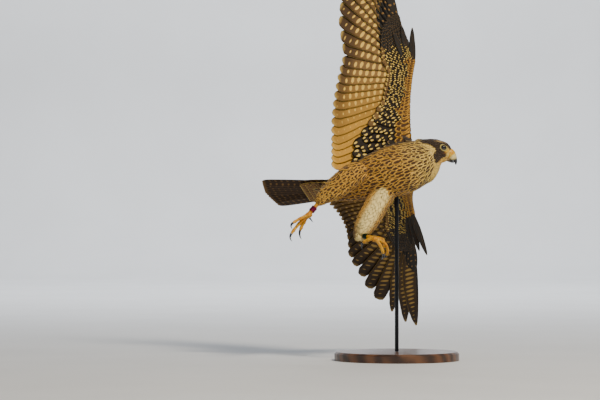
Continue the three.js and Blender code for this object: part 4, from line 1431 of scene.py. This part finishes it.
def lay_greater(w, side, rug):
    """The longest coverts, one over the root of each primary, under all the other rows."""
    for f in flight_plan(w)[:10]:
        length = min(0.44 * f["length"], 84)
        top, low, uv = vane(w.at, f["root"], f["angle"] + 1, f["bend"], length, 8, 13, LEAF, 0.05,
                            height=1.9 * side, lift=-0.9 * side, rows=7, across=PLAIN_ACROSS, shaft=0.0,
                            dome=0.35 * side)
        ground = BACK if side > 0 else SLATE
        rug.add(top, low, uv, ground=ground * 0.9, mark=TAN * 0.8, fringe=FRINGE,
                plan=[0.0, 0.4 * (side < 0), 0.25], trim=[0.08 * (side > 0), 0.0, rng.random()])


def lay_coverts(w, side, rows=9):
    plans = flight_plan(w)
    roots = np.array([f["root"][0] for f in plans])[::-1]
    angles = np.array([f["angle"] for f in plans])[::-1]
    order = np.argsort(roots)
    height = wing_height(w, side)
    rug = Feathers(7, len(PLAIN_ACROSS), 24)
    lay_greater(w, side, rug)
    for k in range(rows, 0, -1):
        share = (k / rows) ** 1.15
        p = -8 + 4 * rng.random()
        while p < 268:
            depth = np.interp(p, COVER_P, COVER_DEPTH)
            size = float(np.clip(depth / rows * mix(1.5, 3.0, share), 8, 40))
            half = 0.29 * size
            angle = np.interp(p, roots[order], angles[order]) + rng.normal(0, 2.5)
            tip = np.array([p, w.edge(p) - depth * share - 1.5 * rng.random()])
            a = math.radians(angle)
            root = tip - size * np.array([math.cos(a), math.sin(a)])
            root[1] = min(root[1], w.edge(root[0]) - 1.0)
            top, low, uv = vane(w.at, root, angle, 4, size, half, half * 1.15, LEAF, 0.05,
                                height=lambda pp, qq, t, s=size: height(pp, qq, t, s), rows=7,
                                across=PLAIN_ACROSS, shaft=0.0, dome=0.35 * side)
            rug.add(top, low, uv, **covert_wear(side, p, share))
            p += 1.35 * half * rng.uniform(0.9, 1.1)
    face = "upper" if side > 0 else "under"
    rug.piece("coverts_" + face + "_" + w.name, "flight_feathers", [covert_feather])
    return len(rug.points)


for w in WINGS:
    print(w.name, "wing:", lay_coverts(w, -1), "coverts below and", lay_coverts(w, 1), "above")

# %% [markdown]
# ## Tail
# Twelve rectrices fold over one another like a hand of cards, the middle pair on top. They are dark with
# narrow buff bars and a pale tip, and here ground, bars and tip are painted darker still as painted shade,
# since the tail's underside lies in the bird's shade. Soft coverts cover their roots on both faces, those
# beneath pale and barred, their ground painted down to tan as painted shade.

# %% Tail feathers


def tail_at(side):
    return lambda p, q, h: tail.at(np.stack(np.broadcast_arrays(-p, side * q, h), -1))


TAIL_LENGTH = 169
fan = Feathers(24, len(FINE_ACROSS), 4)
for i in range(12):
    rank = i - 5.5
    side, middle = np.sign(rank), abs(rank) < 1
    length = TAIL_LENGTH - abs(rank) * 1.6
    trail = 7 if middle else 13
    root = (8, abs(rank) * 4)
    top, low, uv = vane(tail_at(side), root, abs(rank) / 6 * 8, 0, length, 9, trail, BLUNT, 0.12,
                        height=0.8 * (middle and side > 0), ragged=0.02)
    if side < 0:
        top, low, uv = top[:, ::-1], low[:, ::-1], uv[:, ::-1]
    # Dark brown with buff bars and a pale tip, all painted darker as painted shade of the tail's underside
    fan.add(top, low, uv, ground=UMBER * 0.7, mark=TAN * 0.6, fringe=TAN,
            plan=[0.0, 0.6, length / BAR_STEP / 20], trim=[0.06, 0.3, rng.random()])
fan.piece("tail_feathers", "flight_feathers", [flight_upper, flight_under], "tail")

# %% [markdown]
# ## Tail coverts
# Where the tail leaves the body, six rows of soft feathers grow back over its root, above and below,
# shorter row by row. Each stands on the flesh of the rump at its root and comes down to the tail at its
# tip, so its height is a function of where it is.

# %% Lay the tail coverts
tuft = Feathers(9, len(PLAIN_ACROSS), 16)
rump_x, rump_w, rump_h = np.array(RUMP + [(68, 14, 3), (110, 10, 1.5)]).T
for side in (-1, 1):
    for row, reach in enumerate((86, 74, 62, 50, 38, 26)):
        count = 9 - row % 2
        for u in np.linspace(-1, 1, count):
            size = mix(40, 26, row / 5)

            def height(pp, qq, t, side=side, size=size):
                wide = np.interp(pp, rump_x, rump_w)
                high = np.interp(pp, rump_x, rump_h)
                dome = np.sqrt(np.clip(1 - (qq / (wide + 2)) ** 2, 0.02, 1))
                return side * (np.maximum(high * dome, 2.4) + 0.2 + 0.05 * size * t)

            spread = u * float(np.interp(reach - size, rump_x, rump_w)) * 0.9
            half = 0.26 * size
            top, low, uv = vane(tail_at(1), (reach - size, spread), 3 * u, 0, size, half, half, LEAF, 0.0,
                                height=height, rows=9, across=PLAIN_ACROSS, shaft=0.0, dome=0.5 * side)
            if side > 0:
                wear = dict(ground=BACK, mark=DARK, fringe=FRINGE, plan=[0.2, 0.0, 0.1],
                            trim=[0.14, 0, rng.random()])
            else:
                # Painted shade: the pale, barred coverts beneath are painted down to a tan ground
                wear = dict(ground=TAN * 0.75, mark=UMBER, fringe=PALE_BUFF, plan=[0.1, 0.9, 0.1],
                            trim=[0.1, 0, rng.random()])
            tuft.add(top, low, uv, **wear)
tuft.piece("tail_coverts", "flight_feathers", [covert_feather])

# %% [markdown]
# ## Eyes
# A falcon's eye is large and so dark that pupil and iris part only in strong light. The ball sits deep in
# the head and only its front shows. It is lofted round its own axis, with a slight bulge for the cornea,
# and its flat map holds the angle from that axis, which tells pupil, iris and rim apart.

# %% Eyeballs
EYE_RADIUS = 7.6
CORNEA = 0.5


def eye_axis(side):
    centre = head.at(EYE * [1, side, 1])
    outward = unit(np.array([0.22, side, 0.1])) @ head.axes
    across = unit(np.cross(head.axes[2], outward))
    return centre, outward, across, np.cross(outward, across)


eye_mat, g, shader = new_material("eye", 0.03, Coat_Weight=1.0, Coat_Roughness=0.02)
polar = g.split(g.node("ShaderNodeUVMap", uv_map="Lie").outputs[0])
ray = g.noise(g.vector(g.times(polar[0], 60.0), g.times(polar[1], 4.0), 0.0), 1.0, 3.0)
iris = g.blend(ray, paint("1c0d06"), paint("43210f"))
pupil = g.ramp(polar[1], 0.17, 0.2, 1.0, 0.0)
limbus = g.ramp(polar[1], 0.26, 0.31)
g.feed(shader.inputs["Base Color"], g.blend(g.math("MAXIMUM", pupil, limbus), iris, paint("060404")))

for side, label in ((-1, "right"), (1, "left")):
    centre, outward, across, up = eye_axis(side)
    angle = np.linspace(0.01, math.pi - 0.01, 40)
    bulge = CORNEA * np.exp(-((angle / 0.5) ** 2))
    rings = [
        ring(centre + outward * (EYE_RADIUS + b) * math.cos(t), across, up, (EYE_RADIUS + b) * math.sin(t),
             (EYE_RADIUS + b) * math.sin(t), 40, 2)
        for t, b in zip(angle, bulge)
    ]
    points, faces = loft(rings)
    mesh = mesh_of("eyeball_" + label, points, faces, [eye_mat])
    turn = np.tile(np.linspace(0, 1, 40, endpoint=False), 40)
    give_uv(mesh, "Lie", np.column_stack([turn, np.repeat(angle / math.pi, 40)]))
    show(mesh, "eye", "eye_" + label)

# %% [markdown]
# ## Eyelids
# A ring of bare skin frames each eye. It is yellowish outside, dark and moist along the margin, and drawn
# out a little in front. A closed profile swept round an oval makes it, and its outer edge dips under the
# face feathers.

# %% Lids
LID = np.array([
    (5.35, 5.2), (5.5, 5.9), (5.95, 6.35), (6.6, 6.2), (7.3, 5.6),
    (8.0, 4.5), (8.7, 2.6), (8.1, 1.8), (6.9, 2.4), (5.8, 4.0),
])
lid_mat, g, shader = new_material("eyelid skin", 0.45, Specular_IOR_Level=0.4)
sweep = g.split(g.node("ShaderNodeUVMap", uv_map="Lie").outputs[0])
wrinkle = g.noise(g.vector(g.times(sweep[0], 40.0), g.times(sweep[1], 6.0), 0.0), 1.2, 3.0)
bare = g.blend(wrinkle, paint("8d7c3e"), paint("d3c478"))
g.feed(shader.inputs["Base Color"], g.blend(g.ramp(sweep[1], 0.08, 0.2, 1.0, 0.0), bare, paint("1d140d")))
add_bump(g, shader, wrinkle, 0.5, 0.0005)

for side, label in ((-1, "right"), (1, "left")):
    centre, outward, across, up = eye_axis(side)
    if across @ head.axes[0] < 0:
        across, up = -across, -up
    rings = []
    turns = np.linspace(0, 2 * math.pi, 72, endpoint=False)
    for r, h in LID:
        oval = 1 + 0.05 * np.cos(2 * turns) + 0.05 * np.exp(-((np.angle(np.exp(1j * turns)) / 0.35) ** 2))
        shut = 1 - 0.04 * np.sin(turns) ** 2
        ripple = 0.05 * np.sin(turns * 18) * (r > 6)
        rings.append(centre + outward * (h + ripple)[:, None] + np.outer(r * oval * np.cos(turns), across)
                     + np.outer(r * oval * shut * np.sin(turns), up))
    grid = np.arange(len(LID) * 72).reshape(len(LID), 72)
    back = np.roll(grid, -1, axis=0)
    quads = np.stack([grid, np.roll(grid, -1, 1), np.roll(back, -1, 1), back], -1).reshape(-1, 4)
    mesh = mesh_of("eyelid_" + label, np.vstack(rings), quads, [lid_mat])
    give_uv(mesh, "Lie", np.column_stack([np.tile(turns / 2 / math.pi, len(LID)),
                                          np.repeat(np.arange(len(LID)) / len(LID), 72)]))
    show(mesh, "cere_skin")

# %% [markdown]
# ## Bill and cere
# The upper bill hooks over the lower and carries a small tooth on each side, the falcon's tool for
# biting. At its root lies the cere, a soft waxy collar with round nostrils. Both follow one smooth path;
# the lower half of each ring is let down to the line of the mouth, so that the bill is shut.

# %% Path of the bill
UPPER_BILL = [(25, 0.5, 8.6, 9.4), (30, 0, 7.9, 8.8), (35.5, -2.8, 6.6, 7.4), (40, -6.3, 5, 5.8),
              (43.6, -9.8, 3.4, 4), (46.2, -13.2, 2.3, 2.7), (47.9, -17.6, 0.8, 0.95)]
LOWER_BILL = [(24, -13, 7.2, 4.4), (29, -13.9, 6.0, 3.9), (34, -14.4, 4.6, 3.2), (38.5, -14.4, 3.0, 2.6),
              (42.6, -14.0, 1.4, 1.4)]
NOSTRIL = np.array([32.0, 0.4])
BILL_SIDES = 72


def mouth(x):
    """Height of the line of the mouth, with the tooth that reaches below it."""
    return -8.6 - 0.082 * x - 1.1 * np.exp(-(((x - 40.2) / 1.3) ** 2))


def bill_rings(rows, upper, swell=0.0):
    """Rings in the head's own directions, let down or cut to the line of the mouth."""
    path = rows[:, :2]
    along = unit(np.gradient(path, axis=0))
    rings = []
    for (x, z, w, h), (tx, tz) in zip(rows, along):
        a = np.linspace(0, 2 * math.pi, BILL_SIDES, endpoint=False)
        y, v = (w + swell) * np.cos(a), (h + swell) * np.sin(a)
        if upper:
            reach = np.clip((z - mouth(x)) / h / max(tx, 0.5), 1, 2)
            reach = mix(1, reach, float(smooth(43.6, 40.5, x)))
            v = np.where(v < 0, v * reach, v)
        pts = np.column_stack([x - tz * v, y, z + tx * v])
        line = mouth(pts[:, 0])
        if upper:
            pts[:, 2] = np.where(pts[:, 0] < 41.5, np.maximum(pts[:, 2], line), pts[:, 2])
        else:
            pts[:, 2] = np.minimum(pts[:, 2], line - 0.2)
        rings.append(pts)
    return np.array(rings)


def dig_nostrils(rings):
    """A round pit with a soft rim on each side of the cere, and the small peg inside it."""
    away = np.hypot(rings[..., 0] - NOSTRIL[0], rings[..., 2] - NOSTRIL[1])
    side = np.abs(rings[..., 1]) > 4
    pit = 1.7 * smooth(1.55, 1.0, away)
    peg = 1.2 * smooth(0.55, 0.3, away)
    rim = 0.35 * np.exp(-(((away - 1.9) / 0.5) ** 2))
    rings[..., 1] += np.sign(rings[..., 1]) * (peg + rim - pit) * side
    return rings


print("nostrils at", NOSTRIL, "of the head")

# %% Pieces of the bill


def give_ring_uv(mesh, sides, count):
    """A map of a loft: once round each ring, and from the first ring to the last."""
    turn = np.tile(np.linspace(0, 1, sides, endpoint=False), count)
    give_uv(mesh, "Lie", np.column_stack([turn, np.repeat(np.linspace(0, 1, count), sides)]))


def bill_piece(name, rings, material, slot, *stands_for):
    points, faces = loft(rings)
    mesh = mesh_of(name, head.at(points), faces, [material])
    give_ring_uv(mesh, BILL_SIDES, len(rings))
    return show(mesh, slot, *stands_for)


print("the bill is drawn with", BILL_SIDES, "points round")

# %% [markdown]
# ## Waxy skin and horn
# Cere, bill and claws are all grown skin. The cere is waxy and yellow. Horn is layered lengthwise like a
# nail, polished by use, and darkens towards the tip. One group mixes the mottled base, the colour of the
# tip and the fine lengthwise lines, and each finish gives it its own colours. Painting by hand would do
# as well, but the group keeps four finishes alike.

# %% Group: grown horn
horn_tree, g, take, give = new_group(
    "grown horn",
    [
        ("Place", "Vector", None), ("Low", "Color", BUFF), ("High", "Color", CREAM), ("Tip", "Color", DARK),
        ("Around", "Float", 0.0), ("Along", "Float", 0.0),
        ("Tip start", "Float", 0.3), ("Tip end", "Float", 0.6),
        ("Polish", "Float", 0.3),
    ],
    [("Color", "Color"), ("Roughness", "Float"), ("Height", "Float")],
)
mottle = g.noise(take["Place"], 300.0, 4.0, 0.6)
lines = g.noise(g.vector(g.times(take["Around"], 30.0), g.times(take["Along"], 2.0), 0.0), 1.0, 3.0)
base = g.blend(g.ramp(mottle, 0.3, 0.7), take["Low"], take["High"])
g.feed(give["Color"], g.blend(g.ramp(take["Along"], take["Tip start"], take["Tip end"]), base, take["Tip"]))
smoother, rougher = g.times(take["Polish"], 0.8), g.times(take["Polish"], 1.25)
g.feed(give["Roughness"], g.ramp(lines, 0.2, 0.8, smoother, rougher))
g.feed(give["Height"], g.plus(mottle, lines))
print("grown horn uses", len(horn_tree.nodes), "nodes")

# %% Finishes of cere, bill and claws


def grown_material(name, colours, tip_range, polish, bump, **constants):
    """Horn or waxy skin from three colours: two of the base and one of the tip."""
    material, g, shader = new_material(name, polish, **constants)
    lie = g.split(g.node("ShaderNodeUVMap", uv_map="Lie").outputs[0])
    low, high, tip = (paint(c) for c in colours)
    horn = g.node("ShaderNodeGroup", node_tree=horn_tree)
    for socket, value in zip(horn.inputs, (g.place(), low, high, tip, lie[0], lie[1], *tip_range, polish)):
        g.feed(socket, value)
    g.feed(shader.inputs["Base Color"], horn.outputs["Color"])
    g.feed(shader.inputs["Roughness"], horn.outputs["Roughness"])
    add_bump(g, shader, horn.outputs["Height"], bump, 0.0003)
    return material


cere_mat = grown_material("cere", ("d08a10", "e8b42c", "e2b83c"), (0.7, 1.0), 0.42, 0.35,
                          Subsurface_Weight=0.15)
bill_mat = grown_material("bill horn", ("dcc47c", "eadba2", "0b0e14"), (0.26, 0.52), 0.25, 0.15,
                          Coat_Weight=0.4)
lower_mat = grown_material("lower bill horn", ("8a6c3c", "a3854c", "171410"), (0.1, 0.6), 0.3, 0.15,
                           Coat_Weight=0.3)
claw_mat = grown_material("claw horn", ("23262c", "31353c", "050608"), (0.1, 0.7), 0.22, 0.12,
                          Coat_Weight=0.5)
print("made", ", ".join(m.name for m in (cere_mat, bill_mat, lower_mat, claw_mat)))

# %% Cere, upper bill, lower bill
upper_rows = through(UPPER_BILL, 120)
cere_rows = upper_rows[upper_rows[:, 0] < 34.9]
cere_swell = 0.45 * np.sin(np.linspace(0.6, math.pi, len(cere_rows)))
cere_rows[:, 2:] += cere_swell[:, None]
bill_piece("cere_collar", dig_nostrils(bill_rings(cere_rows, True)), cere_mat, "cere_skin", "cere")
horn_rows = upper_rows[upper_rows[:, 0] > 33.8]
bill_piece("bill_above", bill_rings(horn_rows, True, -0.02), bill_mat, "bill_horn", "bill_upper")
bill_piece("bill_below", bill_rings(through(LOWER_BILL, 60), False), lower_mat, "bill_horn", "bill_lower")

# %% [markdown]
# ## Feet
# A falcon's foot is all grip: long toes with round pads beneath, a row of shields along the top, small
# scales on the sides, and a hooked claw on each. Toes, pads and shank are lofted and melted together, as
# the skin was, so that no toe is merely stuck on. The scales are a bump drawn with Voronoi cells, finer
# than a mesh would bear.

# %% Toe and claw paths
# Each toe: its name, angle, length and radius, and the length of its claw. The hind toe's angle and length
# are given with its leg.
TOES = [
    ("inner", 30, 38, 3.9, 20), ("middle", 0, 54, 3.7, 18),
    ("outer", -30, 45, 3.5, 16), ("hind", 0, 0, 3.9, 19),
]
TOE_SHAPE = [1, 1.05, 0.86, 1, 0.82, 0.92, 0.66]
CLAW_SHAPE = [2.4, 2.3, 1.9, 1.4, 0.9, 0.3]
CLAW_BEND = 75
PAD_SHAPE = np.array([0.8, 0.8, 0.72])


def curl(start, heading, towards, length, bend, steps):
    points = [start]
    for i in range(steps):
        a = math.radians(bend) * (i + 0.5) / steps
        points.append(points[-1] + (heading * math.cos(a) + towards * math.sin(a)) * length / steps)
    return np.array(points)


def toe_paths(leg):
    """Name, toe path, claw path, radius and sole direction of each toe."""
    foot = BODY_CENTRE + leg["foot"]
    forward = unit(leg["toe_forward"])
    sole = np.asarray(leg["sole"], float)
    sole = unit(sole - forward * (sole @ forward))
    aside = np.cross(sole, forward)
    for (name, angle, length, radius, claw), bend in zip(TOES, leg["curl"]):
        angle, drop = angle * leg["spread"], 0
        if name == "hind":
            angle, drop, length = leg["hind"]
        turn, drop = math.radians(angle), math.radians(drop)
        heading = (forward * math.cos(turn) + aside * math.sin(turn)) * math.cos(drop) + sole * math.sin(drop)
        under = unit(sole - heading * (sole @ heading))
        path = curl(foot, heading, under, length, bend, 6)
        a = math.radians(bend)
        tip_heading = heading * math.cos(a) + under * math.sin(a)
        tip_under = under * math.cos(a) - heading * math.sin(a)
        hook = curl(path[-1] - tip_heading * 1.2, tip_heading, tip_under, claw + 1.2, CLAW_BEND, 5)
        yield name, path, hook, radius, sole


print("toes:", ", ".join(t[0] for t in TOES))

# %% Limbs with shields


def limb(path, radii, n, count, ribs=0.0, rib_count=0, keel=None):
    """Tube whose upper side carries shields: rings swell and pinch along the path."""
    rows = through(np.column_stack([path, radii]), count)
    points, r = rows[:, :3], np.maximum(rows[:, 3], 0.05)
    along = unit(np.gradient(points, axis=0))
    hint = unit(np.cross(points[0] - points[-1], [0.3, 1, 0.2])) if keel is None else keel
    up = unit(hint - along * (along @ hint)[:, None])
    side = np.cross(along, up)
    saw = (np.linspace(0, rib_count, count) % 1.0) * ribs
    rings = []
    for p, s, u, q, w in zip(points, side, up, r, saw):
        made = ring(p, s, u, q, q, n, 2)
        rings.append(made + np.outer(np.clip((made - p) @ u / q, 0, 1) ** 1.5 * w, u))
    return loft(rings)


print("claws bend by", CLAW_BEND, "degrees")

# %% [markdown]
# ## Skin of the feet
# Young falcons have blue-grey to yellow feet, and this one's are yellow. Small scales meet in darker
# seams. Voronoi cells give such seams, because each cell is the ground nearest to one point, as a scale
# is. The same seams darken the colour and sink the surface.

# %% Foot material
foot_mat, g, shader = new_material("scaly foot skin", 0.42, Subsurface_Weight=0.03, Specular_IOR_Level=0.45)
place = g.place()
cells = g.node("ShaderNodeTexVoronoi", feature="DISTANCE_TO_EDGE")
g.feed(cells.inputs["Vector"], place)
g.feed(cells.inputs["Scale"], 360.0)
seam = g.ramp(cells.outputs["Distance"], 0.0, 0.12, 1.0, 0.0)
mottle = g.noise(place, 90.0, 3.0)
yellow = g.blend(g.ramp(mottle, 0.3, 0.7), paint("d98a00"), paint("f2b512"))
g.feed(shader.inputs["Base Color"], g.blend(g.times(seam, 0.75), yellow, paint("7c4a10")))
add_bump(g, shader, g.minus(g.times(mottle, 0.3), seam), 0.7, 0.0007)
print(foot_mat.name, "has", len(foot_mat.node_tree.nodes), "nodes")

# %% Both feet with their claws
for label, leg in LEGS.items():
    _, _, ankle, foot, down_leg = leg_points(leg)
    shank = [ankle - down_leg * 4, mix(ankle, foot, 0.5), foot - down_leg]
    parts = [limb(shank, (4.9, 4.15, 4.6), 20, 40, 0.5, 9, keel=-unit(leg["sole"]))]
    claws = []
    for name, path, hook, radius, sole in toe_paths(leg):
        shape = np.array(TOE_SHAPE) * radius
        parts.append(limb(path, shape - 0.15, 20, 60, 0.55, int(6 + len(path)), keel=-sole))
        for k in (1, 3, 5):
            if k < len(path) - 1 or name != "hind":
                pad = Attitude(0, 0, 0, path[k] + sole * shape[k] * 0.45)
                parts.append(bump_shape(pad, [0, 0, 0], PAD_SHAPE * shape[k]))
        claws.append((name, limb(hook, CLAW_SHAPE, 20, 36)))
    ball = Attitude(0, 0, 0, foot + unit(leg["sole"]))
    parts.append(bump_shape(ball, [0, 0, 0], (7.2, 7.2, 6.0)))
    points, faces = joined(parts)
    mesh = evaluated("foot_skin_" + label, points, faces, ("REMESH", {"mode": "VOXEL", "voxel_size": 0.0007}),
                     ("SMOOTH", {"factor": 0.5, "iterations": 3}))
    mesh.polygons.foreach_set("use_smooth", np.ones(len(mesh.polygons), bool))
    mesh.materials.append(foot_mat)
    show(mesh, "foot_skin", "foot_" + label, "tarsus_" + label)
    for name, (points, faces) in claws:
        mesh = mesh_of(f"talon_{label}_{name}", points, faces, [claw_mat])
        give_ring_uv(mesh, 20, 36)
        show(mesh, "claw_horn", f"claw_{label}_{name}")

# %% [markdown]
# ## Leg bands
# The bird wears a small metal band on each leg, crimson and dark green. Each is a short sleeve with rolled
# edges and a seam, satin from anodising and scuffed where it rubs.

# %% Group: rubbed metal
metal_tree, g, take, give = new_group(
    "rubbed metal",
    [("Place", "Vector", None), ("Dye", "Color", DARK), ("Rubbed", "Color", TAN)],
    [("Color", "Color"), ("Roughness", "Float"), ("Height", "Float")],
)
rub = g.noise(take["Place"], 260.0, 4.0, 0.65)
g.feed(give["Color"], g.blend(g.ramp(rub, 0.58, 0.72, 0.0, 0.5), take["Dye"], take["Rubbed"]))
g.feed(give["Roughness"], g.ramp(rub, 0.3, 0.7, 0.28, 0.5))
g.feed(give["Height"], rub)


def band_material(name, dye):
    material, g, shader = new_material(name, 0.35, Metallic=0.85)
    metal = g.node("ShaderNodeGroup", g.place(), dye, dye * 1.6 + 0.05, node_tree=metal_tree)
    g.feed(shader.inputs["Base Color"], metal.outputs["Color"])
    g.feed(shader.inputs["Roughness"], metal.outputs["Roughness"])
    add_bump(g, shader, metal.outputs["Height"], 0.15, 0.0003)
    return material


print("rubbed metal uses", len(metal_tree.nodes), "nodes")

# %% Bands
SEAM = 0.04
# Radius and height of each point of a band's section
BAND_PROFILE = [
    (5.2, 0.3), (5.5, 0.0), (6.0, 0.0), (6.25, 0.35), (6.1, 0.9), (6.05, 5.5),
    (6.1, 10.1), (6.25, 10.65), (6.0, 11.0), (5.5, 11.0), (5.2, 10.7), (5.15, 5.5),
]
for label, hue, dye in (("right", "crimson", paint("74183a")), ("left", "green", paint("0f2d1e"))):
    leg = LEGS[label]
    _, _, ankle, _, down_leg = leg_points(leg)
    start = ankle + down_leg * leg["band"]
    side = unit(np.cross(down_leg, [0.3, 1, 0.2]))
    up = np.cross(down_leg, side)
    turns = np.linspace(SEAM, 2 * math.pi - SEAM, 64)
    rings = [
        start + down_leg * np.array([h for _, h in BAND_PROFILE])[:, None]
        + np.outer([r for r, _ in BAND_PROFILE], side * math.cos(a) + up * math.sin(a))
        for a in turns
    ]
    points, faces = loft(rings)
    mesh = mesh_of("band_" + label, points, faces, [band_material(label + " band metal", dye)])
    show(mesh, hue + "_band", "leg_band_" + label)

# %% [markdown]
# ## Stand
# A flying bird needs something in place of air. A turned disc of dark wood and one blackened rod hold
# this one. Their solids are right as they are, so they only get finishes: grain with growth rings for the
# wood, fine brushing for the steel.

# %% Wood and steel
wood_mat, g, shader = new_material("stand wood", 0.42, Coat_Weight=0.35, Coat_Roughness=0.25)
place = g.place()
x, y, z = g.split(place)[:3]
bend_noise = g.noise(place, 6.0, 3.0)
stretched = g.vector(g.times(x, 1.2), g.times(y, 14.0), g.times(z, 14.0))
wander = g.plus(g.times(y, 70.0), g.times(bend_noise, 7.0))
rings_of_growth = g.plus(g.times(g.math("SINE", g.times(wander, 4.0)), 0.5), 0.5)
pores = g.noise(stretched, 60.0, 4.0, 0.7)
grain = g.plus(g.times(rings_of_growth, 0.55), g.times(pores, 0.6))
g.feed(shader.inputs["Base Color"], g.blend(g.ramp(grain, 0.2, 0.95), paint("2f1c10"), paint("6a4427")))
g.feed(shader.inputs["Roughness"], g.ramp(pores, 0.3, 0.7, 0.34, 0.52))
add_bump(g, shader, grain, 0.2, 0.0004)

steel_mat, g, shader = new_material("blackened steel", 0.35, Metallic=0.9)
x, y, z = g.split(g.place())[:3]
brushed = g.noise(g.vector(g.times(x, 900.0), g.times(y, 900.0), g.times(z, 12.0)), 1.0, 3.0)
g.feed(shader.inputs["Base Color"], g.blend(brushed, paint("1b1c1e"), paint("34363a")))
g.feed(shader.inputs["Roughness"], g.ramp(brushed, 0.3, 0.7, 0.28, 0.45))
add_bump(g, shader, brushed, 0.12, 0.0002)

for node, material, slot in (("stand_base", wood_mat, "stand_wood"), ("stand_rod", steel_mat, "stand_steel")):
    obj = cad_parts[node]
    obj.data.materials.clear()
    obj.data.materials.append(material)
print("stand finished")

# %% [markdown]
# ## Floor and wall
# The model stands on a plain pale floor that runs up into a pale wall in one soft curve, so that no
# horizon cuts the picture. The wall is far enough away for a look at the bird from behind.

# %% Floor and backdrop
FLOOR = paint("d9dadb")
FRONT_EDGE = -9000
WALL_FOOT = 6000
COVE = 900
WALL_TOP = 9000
HALF_WIDTH = 7000


def backdrop():
    """A floor that curves up into a wall, drawn from its side and stretched across."""
    profile = [(FRONT_EDGE, 0), (WALL_FOOT, 0)]
    for a in np.linspace(0.1, math.pi / 2, 12):
        profile.append((WALL_FOOT + COVE * math.sin(a), COVE - COVE * math.cos(a)))
    profile.append((WALL_FOOT + COVE, WALL_TOP))
    points = [(x, y, z) for x in (-HALF_WIDTH, HALF_WIDTH) for y, z in profile]
    n = len(profile)
    mesh = mesh_of("floor", points, [[i, i + 1, n + i + 1, n + i] for i in range(n - 1)])
    material, g, shader = new_material("pale floor", 0.75)
    speck = g.ramp(g.noise(g.place(), 3.0, 3.0), 0.2, 0.8, 0.96, 1.02)
    g.feed(shader.inputs["Base Color"], g.shaded(FLOOR, speck))
    mesh.materials.append(material)
    obj = bpy.data.objects.new("floor", mesh)
    bpy.context.scene.collection.objects.link(obj)
    obj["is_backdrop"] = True


backdrop()
print("floor and wall reach", (WALL_FOOT + COVE) * MM, "m behind the stand")

# %% [markdown]
# ## Light
# Three disc lamps and a dim, pale sky light the bird. The first is strong, warm and rather small, so that
# each feather casts a short shadow. The second lifts the shade a little. The last one only lights the
# wall, far behind, which keeps the outline clear.

# %% Lamps


def lamp(name, place, aim, size, power, colour):
    data = bpy.data.lights.new(name, "AREA")
    data.shape = "DISK"
    data.size = size
    data.energy = power
    data.color = colour
    obj = bpy.data.objects.new(name, data)
    obj.location = place
    obj.rotation_euler = (Vector(aim) - Vector(place)).to_track_quat("-Z", "Y").to_euler()
    bpy.context.scene.collection.objects.link(obj)
    return obj


lamp("sun", (1.5, -2.6, 3.3), (0, 0, 0.4), 0.8, 195, (1.0, 0.9, 0.74))
lamp("fill", (-2.4, -2.8, 1.0), (0, 0, 0.4), 2.4, 4, (0.86, 0.93, 1.0))
lamp("wall wash", (0, 3.6, 4.4), (0, 6.9, 1.0), 3.0, 380, (0.93, 0.96, 1.0))
world = bpy.data.worlds.new("studio")
world.use_nodes = True
world.node_tree.nodes["Background"].inputs["Color"].default_value = (0.80, 0.88, 1.0, 1)
world.node_tree.nodes["Background"].inputs["Strength"].default_value = 0.2
bpy.context.scene.world = world

# %% [markdown]
# ## Sizes
# A dressed model must stay as large as its solids. The last step measures the box round every shown
# piece, leaving out floor and wall.

# %% Sizes
low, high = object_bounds()
